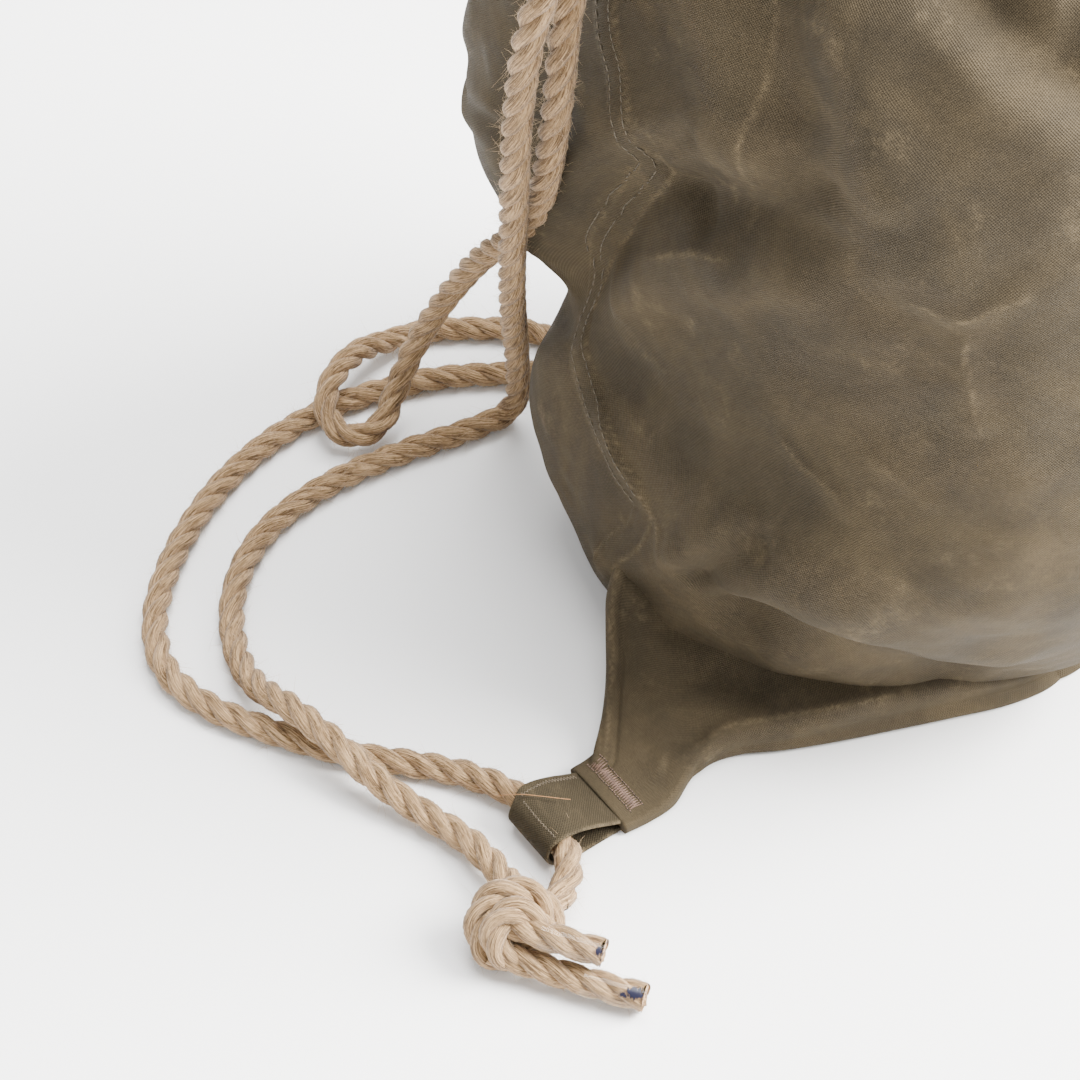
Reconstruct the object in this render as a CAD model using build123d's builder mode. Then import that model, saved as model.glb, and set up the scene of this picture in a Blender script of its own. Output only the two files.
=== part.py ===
"""A waxed-canvas drawstring sack with a jute rope, standing filled on a flat surface.

Millimetres, +Z up, +X to the sack's right-hand corner, -Y towards its front panel.
The sack stands on z = 0 with its two bottom corners on the X axis side to side.
The rope comes out of the neck channel at the left, falls to the ground beside the sack
in two runs, and both runs end in one knot beside the left corner loop.
"""

import math
import os

from build123d import *

# ---- driving dimensions -------------------------------------------------------------

CLOTH = 2.5  # wall of the sack, cloth with its seams and wrinkles averaged
SEAM_WIDTH = 9.0  # flat-felled seam
SEAM_PROUD = 1.4
SEAM_PLANE_Y = 4.0  # plane of the side seams, where front and back panels meet
SEAM_FOOT_Z = 66.0  # where the side seams run out onto the flattened corners
BOTTOM_SEAM_SECTION = 1  # the section whose outline the bottom seam's outer edge follows
BOTTOM_SEAM_HIGH = 7.0
BOTTOM_SEAM_HALF = 88.0  # half its length along the front
BOTTOM_SEAM_BACK_Y = -58.0  # where it ends round the sides

# Horizontal sections of the filled sack: height, half width, front y, back y, and how
# square the front and the back half are (2 is an ellipse, below 2 leans to a diamond).
SECTIONS = [
    (0.0, 104.0, -88.0, 66.0, 1.5, 3.0),
    (8.0, 112.0, -101.0, 78.0, 1.4, 3.4),
    (30.0, 117.0, -116.0, 86.0, 1.35, 4.0),
    (50.0, 118.0, -126.0, 92.0, 1.45, 4.5),
    (72.0, 118.0, -131.0, 95.0, 1.8, 4.6),
    (100.0, 112.0, -134.0, 92.0, 2.4, 4.6),
    (125.0, 103.0, -133.0, 108.0, 2.5, 5.2),
    (155.0, 101.5, -130.0, 126.0, 2.4, 6.0),
    (200.0, 104.0, -126.0, 134.0, 2.5, 6.5),
    (250.0, 103.0, -121.0, 130.0, 2.5, 5.0),
    (295.0, 97.0, -108.0, 114.0, 2.3, 3.4),
    (330.0, 80.0, -82.0, 90.0, 2.2, 2.6),
    (355.0, 58.0, -56.0, 64.0, 2.1, 2.2),
    (375.0, 43.0, -39.0, 47.0, 2.0, 2.0),
]
SECTION_POINTS = 24

CORNER_TIP_X = 168.0  # where the loop strap leaves the flattened bottom corner
CORNER_THICK = 5.0
# Cross-sections of a flattened bottom corner: distance out along x, front y, back y,
# height of its front edge, and height of the ridge along its back.
CORNER_SECTIONS = [
    (168.0, -64.0, -34.0, 4.9, 5.0),
    (156.0, -64.0, -34.0, 4.9, 5.0),
    (122.0, -61.0, 10.0, 9.0, 42.0),
    (88.0, -74.0, 34.0, 16.0, 64.0),
    (58.0, -84.0, 34.0, 18.0, 50.0),
]

STRAP_THICK = 2.0
STRAP_ROOT_THICK = 1.2  # the strap's upper ply where it is sewn down to the corner
STRAP_WIDTH = 27.0
STRAP_Y = -49.5
LOOP_END_X = 194.0  # centre of the loop's rounded end
LOOP_INNER_R = 6.2

BARTACK_ROWS = 13
BARTACK_PITCH = 1.9
BARTACK_LENGTH = 4.2
BARTACK_HIGH = 0.5
BARTACK_X = 161.0

ROPE = 10.0
NECK_X, NECK_Y, NECK_Z = 0.0, 4.0, 384.0
NECK_RADIUS = 40.0  # the rope's circle inside the drawn neck
CHANNEL_INNER_R = 6.2
CHANNEL_OUTER_R = 8.4
LEFT_GAP_DEG = 40.0  # half angle of the channel's gap at the left seam
RIGHT_GAP_DEG = 14.0
THREAD = 0.9
THREAD_DROP = 5.0  # the channel's stitch line below the rope's centre line

LYING = 5.2  # height of the rope's centre line where it lies on the ground

KNOT_CENTRE = (-227.0, -79.0, 12.4)
KNOT_RADII = (19.0, 15.5, 12.2)
TAPE_WALL = 0.5
TAPE_LENGTH = 13.0

# The left-hand run of the rope, from the neck to the knot.
LEFT_RUN = [
    (-30.655, -21.697, NECK_Z),
    (-46.069, -3.327, NECK_Z),
    (-75.0, -1.0, 378.0),
    (-104.0, 9.0, 352.0),
    (-125.0, 20.0, 314.0),
    (-137.0, 33.0, 272.0),
    (-134.0, 47.0, 226.0),
    (-123.0, 65.0, 171.0),
    (-107.0, 90.0, 104.0),
    (-89.0, 112.0, 50.0),
    (-79.0, 125.0, LYING),
    (-102.0, 126.5, LYING),
    (-131.0, 132.5, LYING),
    (-166.0, 135.5, LYING),
    (-200.0, 128.0, LYING),
    (-225.0, 108.0, LYING),
    (-239.0, 82.0, LYING),
    (-243.0, 59.0, 9.5),
    (-241.0, 42.0, 17.6),
    (-236.0, 16.0, 17.6),
    (-231.0, -4.0, 11.0),
    (-223.0, -23.0, 6.2),
    (-216.0, -45.0, 7.0),
    (-219.0, -66.0, 10.5),
]

# The right-hand run: down, over itself in a tight bight, round and through the loop.
RIGHT_RUN = [
    (-30.655, 29.697, NECK_Z),
    (-46.069, 11.327, NECK_Z),
    (-75.0, 15.0, 377.0),
    (-99.0, 24.0, 350.0),
    (-114.0, 32.0, 312.0),
    (-122.0, 38.0, 264.0),
    (-118.0, 48.0, 214.0),
    (-110.0, 66.0, 166.0),
    (-103.0, 89.0, 130.0),
    (-101.0, 113.0, 107.0),
    (-103.0, 135.0, 74.0),
    (-110.0, 150.0, 42.0),
    (-120.0, 152.0, 19.5),
    (-133.0, 144.0, 9.5),
    (-147.5, 148.5, 8.5),
    (-149.0, 162.5, 14.0),
    (-137.0, 174.0, 18.0),
    (-120.0, 182.5, 16.5),
    (-102.0, 188.5, 7.5),
    (-82.0, 187.0, LYING),
    (-59.0, 171.0, LYING),
    (-44.0, 158.0, LYING),
    (-44.0, 142.5, LYING),
    (-57.5, 136.0, LYING),
    (-73.0, 146.5, LYING),
    (-91.0, 158.0, LYING),
    (-112.0, 166.0, LYING),
    (-136.0, 171.0, LYING),
    (-163.0, 170.5, LYING),
    (-190.0, 163.5, LYING),
    (-216.0, 150.0, LYING),
    (-239.0, 132.0, LYING),
    (-257.0, 111.0, LYING),
    (-265.0, 88.0, LYING),
    (-260.0, 64.0, LYING),
    (-246.0, 40.0, LYING),
    (-229.0, 15.0, LYING),
    (-208.0, -6.0, LYING),
    (-197.0, -23.0, 6.4),
    (-192.4, -39.0, 8.1),
    (-192.6, -60.0, 8.2),
    (-199.0, -73.0, 9.3),
    (-211.0, -79.5, 11.0),
]

UPPER_TAIL = [
    (-233.0, -74.0, 16.0),
    (-226.0, -89.5, 18.6),
    (-211.8, -106.6, 16.0),
]
LOWER_TAIL = [
    (-238.0, -80.0, 9.0),
    (-223.5, -102.0, 6.6),
    (-207.0, -123.0, 5.9),
]

os.makedirs("parts", exist_ok=True)


# ---- helpers ------------------------------------------------------------------------


def section_points(half_width, front, back, front_square, back_square):
    """Points of one superellipse section, anticlockwise from its right-hand side."""
    middle = (front + back) / 2
    half_depth = (back - front) / 2
    points = []
    for index in range(SECTION_POINTS):
        turn = 2 * math.pi * index / SECTION_POINTS
        cos_turn, sin_turn = math.cos(turn), math.sin(turn)
        squareness = back_square if sin_turn > 0 else front_square
        x = math.copysign(abs(cos_turn) ** (2 / squareness), cos_turn)
        y = math.copysign(abs(sin_turn) ** (2 / squareness), sin_turn)
        points.append((half_width * x, middle + half_depth * y))
    return points


def sack_solid(grow, first_z, last_z):
    """The filled sack as a plain solid, its sections grown outwards by grow."""
    with BuildPart() as solid:
        for index, (z, half_width, front, back, *squares) in enumerate(SECTIONS):
            if index == 0:
                z = first_z
            if index == len(SECTIONS) - 1:
                z = last_z
            with BuildSketch(Plane.XY.offset(z)):
                with BuildLine():
                    outline = section_points(
                        half_width + grow, front - grow, back + grow, *squares
                    )
                    Spline(*outline, periodic=True)
                make_face()
        loft(ruled=True)
    return solid.part


def arc_radii(route):
    """Each corner's arc: as large as its two runs allow."""
    radii = []
    for before, corner, after in zip(route, route[1:], route[2:]):
        run_in = Vector(*corner) - Vector(*before)
        run_out = Vector(*after) - Vector(*corner)
        half_turn = math.radians(run_in.get_angle(run_out)) / 2
        shorter = min(run_in.length, run_out.length)
        radii.append(0.45 * shorter / math.tan(half_turn))
    return radii


def rope_tube(name, route):
    """A rope lying along straight runs joined by tangent arcs."""
    radii = arc_radii(route)
    with BuildPart() as tube:
        with BuildLine():
            path = FilletPolyline(*route, radius=radii)
        with BuildSketch(Plane(origin=path @ 0, z_dir=path % 0)):
            Circle(ROPE / 2)
        sweep()
    expected = math.pi * ROPE**2 / 4 * path.length
    ratio = tube.part.volume / expected
    print(name, "length", round(path.length, 1), "volume ratio", round(ratio, 4))
    print("   arc radii", [round(radius, 1) for radius in radii])
    return tube.part


def mirrored(part):
    return part.mirror(Plane.YZ)


def save(part, name):
    part.label = name
    export_step(part, f"parts/{name}.step")


# ---- sack: two panels ---------------------------------------------------------------

top_z = SECTIONS[-1][0]
outer = sack_solid(0.0, 0.0, top_z)
inner = sack_solid(-CLOTH, CLOTH, top_z + CLOTH)
seam_skin = sack_solid(SEAM_PROUD, 0.0, top_z)

# Left bottom corner of the sack, flattened on the ground, its side seam rising inwards.
with BuildPart() as left_ear:
    for out_x, front, back, edge_high, ridge_high in CORNER_SECTIONS:
        with BuildSketch(Plane((-out_x, 0, 0), x_dir=(0, 1, 0), z_dir=(1, 0, 0))):
            with BuildLine():
                Polyline(
                    (front, 0),
                    (back, 0),
                    (back, ridge_high),
                    (front, edge_high),
                    close=True,
                )
            make_face()
    loft(ruled=True)

with BuildPart() as front_panel:
    add(outer)
    add(left_ear.part)
    add(mirrored(left_ear.part))
    add(inner, mode=Mode.SUBTRACT)
    split(bisect_by=Plane.XZ.offset(-SEAM_PLANE_Y), keep=Keep.TOP)
save(front_panel.part, "front_panel")

with BuildPart() as back_panel:
    add(outer)
    add(left_ear.part)
    add(mirrored(left_ear.part))
    add(inner, mode=Mode.SUBTRACT)
    split(bisect_by=Plane.XZ.offset(-SEAM_PLANE_Y), keep=Keep.BOTTOM)
save(back_panel.part, "back_panel")

# ---- seams --------------------------------------------------------------------------

with BuildPart() as left_side_seam:
    add(seam_skin)
    add(outer, mode=Mode.SUBTRACT)
    with Locations((-CORNER_TIP_X, SEAM_PLANE_Y, (SEAM_FOOT_Z + top_z) / 2)):
        Box(2 * CORNER_TIP_X, SEAM_WIDTH, top_z - SEAM_FOOT_Z, mode=Mode.INTERSECT)
save(left_side_seam.part, "left_side_seam")

with BuildPart() as right_side_seam:
    add(seam_skin)
    add(outer, mode=Mode.SUBTRACT)
    with Locations((CORNER_TIP_X, SEAM_PLANE_Y, (SEAM_FOOT_Z + top_z) / 2)):
        Box(2 * CORNER_TIP_X, SEAM_WIDTH, top_z - SEAM_FOOT_Z, mode=Mode.INTERSECT)
save(right_side_seam.part, "right_side_seam")

with BuildPart() as bottom_seam:
    with BuildSketch():
        with BuildLine():
            seam_outline = section_points(*SECTIONS[BOTTOM_SEAM_SECTION][1:])
            Spline(*seam_outline, periodic=True)
        make_face()
    extrude(amount=BOTTOM_SEAM_HIGH)
    add(outer, mode=Mode.SUBTRACT)
    add(left_ear.part, mode=Mode.SUBTRACT)
    add(mirrored(left_ear.part), mode=Mode.SUBTRACT)
    seam_front_y = SECTIONS[BOTTOM_SEAM_SECTION][2]
    seam_middle_y = (seam_front_y + BOTTOM_SEAM_BACK_Y) / 2
    seam_depth = BOTTOM_SEAM_BACK_Y - seam_front_y
    with Locations((0, seam_middle_y, BOTTOM_SEAM_HIGH / 2)):
        Box(2 * BOTTOM_SEAM_HALF, seam_depth, BOTTOM_SEAM_HIGH, mode=Mode.INTERSECT)
save(bottom_seam.part, "bottom_seam")

# ---- drawn neck ---------------------------------------------------------------------

neck_axis = Axis((NECK_X, NECK_Y, NECK_Z), (0, 0, 1))


def channel_half(start_deg, sweep_deg):
    """Half of the hem that the rope runs in, a bent tube open at both ends."""
    start = math.radians(start_deg)
    radial = (math.cos(start), math.sin(start), 0)
    tangent = (-math.sin(start), math.cos(start), 0)
    centre = (
        NECK_X + NECK_RADIUS * radial[0],
        NECK_Y + NECK_RADIUS * radial[1],
        NECK_Z,
    )
    with BuildPart() as half:
        with BuildSketch(Plane(origin=centre, x_dir=radial, z_dir=tangent)):
            Circle(CHANNEL_OUTER_R)
            Circle(CHANNEL_INNER_R, mode=Mode.SUBTRACT)
        revolve(axis=neck_axis, revolution_arc=sweep_deg)
    return half.part


half_sweep = 180.0 - LEFT_GAP_DEG - RIGHT_GAP_DEG

with BuildPart() as neck_channel_front:
    add(channel_half(180.0 + LEFT_GAP_DEG, half_sweep))
save(neck_channel_front.part, "neck_channel_front")

with BuildPart() as neck_channel_back:
    add(channel_half(RIGHT_GAP_DEG, half_sweep))
save(neck_channel_back.part, "neck_channel_back")


def channel_thread(start_deg, sweep_deg):
    """One line of sewing thread round the outside of the channel, just under the rope."""
    out = math.sqrt(CHANNEL_OUTER_R**2 - THREAD_DROP**2) + THREAD / 2
    start = math.radians(start_deg)
    radial = (math.cos(start), math.sin(start), 0)
    tangent = (-math.sin(start), math.cos(start), 0)
    centre = (
        NECK_X + (NECK_RADIUS + out) * radial[0],
        NECK_Y + (NECK_RADIUS + out) * radial[1],
        NECK_Z - THREAD_DROP,
    )
    with BuildPart() as thread:
        with BuildSketch(Plane(origin=centre, x_dir=radial, z_dir=tangent)):
            Circle(THREAD / 2)
        revolve(axis=neck_axis, revolution_arc=sweep_deg)
    return thread.part


with BuildPart() as channel_thread_front:
    add(channel_thread(180.0 + LEFT_GAP_DEG, half_sweep))
    add(neck_channel_front.part, mode=Mode.SUBTRACT)
save(channel_thread_front.part, "channel_thread_front")

with BuildPart() as channel_thread_back:
    add(channel_thread(RIGHT_GAP_DEG, half_sweep))
    add(neck_channel_back.part, mode=Mode.SUBTRACT)
save(channel_thread_back.part, "channel_thread_back")

# ---- corner loops -------------------------------------------------------------------

with BuildPart() as corner_loop_left:
    strap_end = LOOP_INNER_R + STRAP_THICK
    top_of_loop = 2 * strap_end
    side = Plane((0, STRAP_Y + STRAP_WIDTH / 2, 0), x_dir=(1, 0, 0), z_dir=(0, -1, 0))
    with BuildSketch(side):
        with BuildLine():
            Polyline(
                (-LOOP_END_X, 0),
                (-CORNER_TIP_X, 0),
                (-CORNER_TIP_X, CORNER_THICK),
                (-LOOP_END_X, top_of_loop),
            )
            ThreePointArc(
                (-LOOP_END_X, top_of_loop),
                (-LOOP_END_X - strap_end, strap_end),
                (-LOOP_END_X, 0),
            )
        make_face()
        with BuildLine():
            Polyline(
                (-LOOP_END_X, STRAP_THICK),
                (-CORNER_TIP_X - STRAP_THICK, STRAP_THICK),
                (-CORNER_TIP_X - STRAP_THICK, CORNER_THICK - STRAP_ROOT_THICK),
                (-LOOP_END_X, top_of_loop - STRAP_THICK),
            )
            ThreePointArc(
                (-LOOP_END_X, top_of_loop - STRAP_THICK),
                (-LOOP_END_X - LOOP_INNER_R, strap_end),
                (-LOOP_END_X, STRAP_THICK),
            )
        make_face(mode=Mode.SUBTRACT)
    extrude(amount=STRAP_WIDTH)
save(corner_loop_left.part, "corner_loop_left")

with BuildPart() as corner_loop_right:
    add(mirrored(corner_loop_left.part))
save(corner_loop_right.part, "corner_loop_right")

with BuildPart() as left_bartack:
    with Locations((-BARTACK_X, STRAP_Y, CORNER_THICK + BARTACK_HIGH / 2)):
        with GridLocations(1, BARTACK_PITCH, 1, BARTACK_ROWS):
            Box(BARTACK_LENGTH, BARTACK_PITCH / 2, BARTACK_HIGH)
save(left_bartack.part, "left_bartack")

with BuildPart() as right_bartack:
    add(mirrored(left_bartack.part))
save(right_bartack.part, "right_bartack")

# ---- rope ---------------------------------------------------------------------------

with BuildPart() as neck_rope:
    with BuildLine():
        neck_centre = (NECK_X, NECK_Y, NECK_Z)
        neck_arc = CenterArc(
            neck_centre, NECK_RADIUS, 180 + LEFT_GAP_DEG, 360 - 2 * LEFT_GAP_DEG
        )
    with BuildSketch(Plane(origin=neck_arc @ 0, z_dir=neck_arc % 0)):
        Circle(ROPE / 2)
    sweep()
print("neck_rope length", round(neck_arc.length, 1))
save(neck_rope.part, "neck_rope")

with BuildPart() as rope_left_run:
    add(rope_tube("rope_left_run", LEFT_RUN))
save(rope_left_run.part, "rope_left_run")

with BuildPart() as rope_right_run:
    add(rope_tube("rope_right_run", RIGHT_RUN))
save(rope_right_run.part, "rope_right_run")

with BuildPart() as upper_tail:
    add(rope_tube("upper_tail", UPPER_TAIL))
with BuildPart() as lower_tail:
    add(rope_tube("lower_tail", LOWER_TAIL))


def tape_sleeve(route):
    """Clear tape wound round the last of a rope's tail, flush with its cut end."""
    before, last = Vector(*route[-2]), Vector(*route[-1])
    direction = (last - before).normalized()
    start = last - direction * TAPE_LENGTH
    with BuildPart() as sleeve:
        with BuildSketch(Plane(origin=start, z_dir=direction)):
            Circle(ROPE / 2 + TAPE_WALL)
            Circle(ROPE / 2, mode=Mode.SUBTRACT)
        extrude(amount=TAPE_LENGTH)
    return sleeve.part


with BuildPart() as upper_tape:
    add(tape_sleeve(UPPER_TAIL))
with BuildPart() as lower_tape:
    add(tape_sleeve(LOWER_TAIL))

with BuildPart() as knot_lump:
    with BuildSketch(Plane.XZ):
        with BuildLine():
            ThreePointArc((0, -1), (1, 0), (0, 1))
            Line((0, 1), (0, -1))
        make_face()
    revolve(axis=Axis.Z)
    scale(by=KNOT_RADII)

with BuildPart() as rope_knot:
    add(knot_lump.part.moved(Location(KNOT_CENTRE)))
    for piece in (rope_left_run, rope_right_run, upper_tail, lower_tail):
        add(piece.part, mode=Mode.SUBTRACT)
save(rope_knot.part, "rope_knot")
save(upper_tail.part, "upper_tail")
save(lower_tail.part, "lower_tail")
save(upper_tape.part, "upper_tape")
save(lower_tape.part, "lower_tape")
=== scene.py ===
import math

import bpy
import numpy as np
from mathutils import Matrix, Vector
from mathutils.bvhtree import BVHTree


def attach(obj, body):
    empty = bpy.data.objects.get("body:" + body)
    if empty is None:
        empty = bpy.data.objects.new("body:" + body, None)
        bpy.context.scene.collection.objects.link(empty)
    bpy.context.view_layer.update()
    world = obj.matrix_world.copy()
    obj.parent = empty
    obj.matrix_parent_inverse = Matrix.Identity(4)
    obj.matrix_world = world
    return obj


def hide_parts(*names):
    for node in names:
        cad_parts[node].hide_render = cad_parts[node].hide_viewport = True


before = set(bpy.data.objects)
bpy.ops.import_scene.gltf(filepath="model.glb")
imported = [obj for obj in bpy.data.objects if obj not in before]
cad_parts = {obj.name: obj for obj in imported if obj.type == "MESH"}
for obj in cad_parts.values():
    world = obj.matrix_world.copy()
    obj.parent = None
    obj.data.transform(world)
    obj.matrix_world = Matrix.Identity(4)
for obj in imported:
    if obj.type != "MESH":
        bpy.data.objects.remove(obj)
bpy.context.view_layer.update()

# A waxed-canvas drawstring sack with a jute rope. Metres, +Z up, front towards -Y.

MM = 0.001
rng = np.random.default_rng(7)

# ---- camera -------------------------------------------------------------------------

camera_data = bpy.data.cameras.new("camera")
camera_data.sensor_width = 36.0
camera_data.lens = 76.67
camera = bpy.data.objects.new("camera", camera_data)
camera.location = (-0.469, -0.426, 0.651)
camera.rotation_euler = (math.radians(43), 0, math.radians(-36))
bpy.context.scene.collection.objects.link(camera)
bpy.context.scene.camera = camera

# ---- rope facts ---------------------------------------------------------------------

ROPE = 10 * MM
LAY = 33 * MM  # one whole turn of a strand
STRANDS = 3
STRAND_OFFSET = 0.240 * ROPE
STRAND_RADIUS = 0.268 * ROPE
YARNS = 7  # yarns seen round one strand
ROPE_STEP = 1.3 * MM
LINE_ORDER = 3  # of the NURBS curve through a rope's control points
LINE_STEPS = 14

# The rope's route, with the CAD tubes' own control points, in millimetres.
LEFT_RUN = [
    (-30.655, -21.697, 384), (-46.069, -3.327, 384), (-75, -1, 378), (-104, 9, 352),
    (-125, 20, 314), (-137, 33, 272), (-134, 47, 226), (-123, 65, 171), (-107, 90, 104),
    (-89, 112, 50), (-79, 125, 5.2), (-102, 126.5, 5.2), (-131, 132.5, 5.2),
    (-166, 135.5, 5.2), (-200, 128, 5.2), (-225, 108, 5.2), (-239, 82, 5.2),
    (-243, 59, 9.5), (-241, 42, 17.6), (-236, 16, 17.6), (-231, -4, 11), (-223, -23, 6.2),
    (-216, -45, 7), (-219, -66, 10.5),
]
RIGHT_RUN = [
    (-30.655, 29.697, 384), (-46.069, 11.327, 384), (-75, 15, 377), (-99, 24, 350),
    (-114, 32, 312), (-122, 38, 264), (-118, 48, 214), (-110, 66, 166), (-103, 89, 130),
    (-101, 113, 107), (-103, 135, 74), (-110, 150, 42), (-120, 152, 19.5),
    (-133, 144, 9.5), (-147.5, 148.5, 8.5), (-149, 162.5, 14), (-137, 174, 18),
    (-120, 182.5, 16.5), (-102, 188.5, 7.5), (-82, 187, 5.2), (-59, 171, 5.2),
    (-44, 158, 5.2), (-44, 142.5, 5.2), (-57.5, 136, 5.2), (-73, 146.5, 5.2),
    (-91, 158, 5.2), (-112, 166, 5.2), (-136, 171, 5.2), (-163, 170.5, 5.2),
    (-190, 163.5, 5.2), (-216, 150, 5.2), (-239, 132, 5.2), (-257, 111, 5.2),
    (-265, 88, 5.2), (-260, 64, 5.2), (-246, 40, 5.2), (-229, 15, 5.2), (-208, -6, 5.2),
    (-197, -23, 6.4), (-192.4, -39, 8.1), (-192.6, -60, 8.2), (-199, -73, 9.3),
    (-211, -79.5, 11),
]
UPPER_TAIL = [(-233, -74, 16), (-226, -89.5, 18.6), (-211.8, -106.6, 16)]
LOWER_TAIL = [(-238, -80, 9), (-223.5, -102, 6.6), (-207, -123, 5.9)]
NECK_CENTRE = np.array((0.0, 4.0, 384.0))
NECK_RADIUS = 40.0
LEFT_GAP_DEG = 40.0


# ---- mesh helpers -------------------------------------------------------------------


def unit(rows):
    size = np.linalg.norm(rows, axis=-1, keepdims=True)
    return rows / np.maximum(size, 1e-12)


def link(name, mesh, material=None, smooth=True):
    if material is not None:
        mesh.materials.append(material)
    if smooth:
        mesh.polygons.foreach_set("use_smooth", np.ones(len(mesh.polygons), dtype=bool))
    obj = bpy.data.objects.new(name, mesh)
    bpy.context.scene.collection.objects.link(obj)
    return obj


def mesh_of(name, points, quads, uv=None, values=None):
    """A mesh from point and quad arrays; uv is per point, values named floats per point."""
    mesh = bpy.data.meshes.new(name)
    mesh.from_pydata(points.tolist(), [], quads.tolist())
    if uv is not None:
        layer = mesh.uv_layers.new(name="UVMap")
        corners = np.empty(len(mesh.loops), dtype=np.int64)
        mesh.loops.foreach_get("vertex_index", corners)
        layer.data.foreach_set("uv", uv[corners].astype(np.float32).ravel())
    for key, numbers in (values or {}).items():
        attribute = mesh.attributes.new(key, "FLOAT", "POINT")
        attribute.data.foreach_set("value", numbers.astype(np.float32).ravel())
    mesh.update()
    return mesh


def grid_quads(rows, columns, start=0, wrap=False):
    """Quads of a rows x columns grid of points; wrap joins the last column to the first."""
    across = columns if wrap else columns - 1
    row, column = np.meshgrid(np.arange(rows - 1), np.arange(across), indexing="ij")
    beside = (column + 1) % columns
    corners = (
        row * columns + column,
        row * columns + beside,
        (row + 1) * columns + beside,
        (row + 1) * columns + column,
    )
    return start + np.stack(corners, axis=-1).reshape(-1, 4)


def smooth_line(points):
    """Points of a NURBS curve on these control points."""
    curve = bpy.data.curves.new("line", "CURVE")
    curve.dimensions = "3D"
    curve.resolution_u = LINE_STEPS
    spline = curve.splines.new("NURBS")
    spline.points.add(len(points) - 1)
    for point, place in zip(spline.points, points):
        point.co = (*place, 1)
    spline.order_u = LINE_ORDER
    spline.use_endpoint_u = True
    obj = bpy.data.objects.new("line", curve)
    bpy.context.scene.collection.objects.link(obj)
    mesh = bpy.data.meshes.new_from_object(obj)
    line = np.array([vertex.co[:] for vertex in mesh.vertices])
    bpy.data.objects.remove(obj)
    bpy.data.curves.remove(curve)
    bpy.data.meshes.remove(mesh)
    return line


def even_line(line, step):
    """The same line with points an even step apart, and the length at each."""
    runs = np.linalg.norm(np.diff(line, axis=0), axis=1)
    at = np.concatenate(([0.0], np.cumsum(runs)))
    count = max(4, int(round(at[-1] / step)) + 1)
    places = np.linspace(0, at[-1], count)
    even = np.stack([np.interp(places, at, line[:, axis]) for axis in range(3)], axis=1)
    return even, places


def carried_frames(line):
    """Tangents, and normals carried along the line without twist."""
    tangents = unit(np.gradient(line, axis=0))
    up = np.array((0.0, 0.0, 1.0))
    if abs(tangents[0] @ up) > 0.9:
        up = np.array((0.0, 1.0, 0.0))
    normal = unit(np.cross(np.cross(tangents[0], up), tangents[0]))
    normals = [normal]
    for tangent in tangents[1:]:
        normal = unit(normal - tangent * (normal @ tangent))
        normals.append(normal)
    normals = np.array(normals)
    return tangents, normals, np.cross(tangents, normals)


def tube(name, line, radius, sides, material):
    """A plain round tube along a line; radius may be one number or one per point."""
    _, normals, sideways = carried_frames(line)
    turn = np.linspace(0, 2 * np.pi, sides, endpoint=False)
    radii = np.broadcast_to(radius, len(line))[:, None, None]
    ring = (
        np.cos(turn)[None, :, None] * normals[:, None]
        + np.sin(turn)[None, :, None] * sideways[:, None]
    )
    points = (line[:, None] + radii * ring).reshape(-1, 3)
    quads = grid_quads(len(line), sides, wrap=True)
    mesh = mesh_of(name, points, quads)
    return link(name, mesh, material)


# ---- materials ----------------------------------------------------------------------


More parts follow.
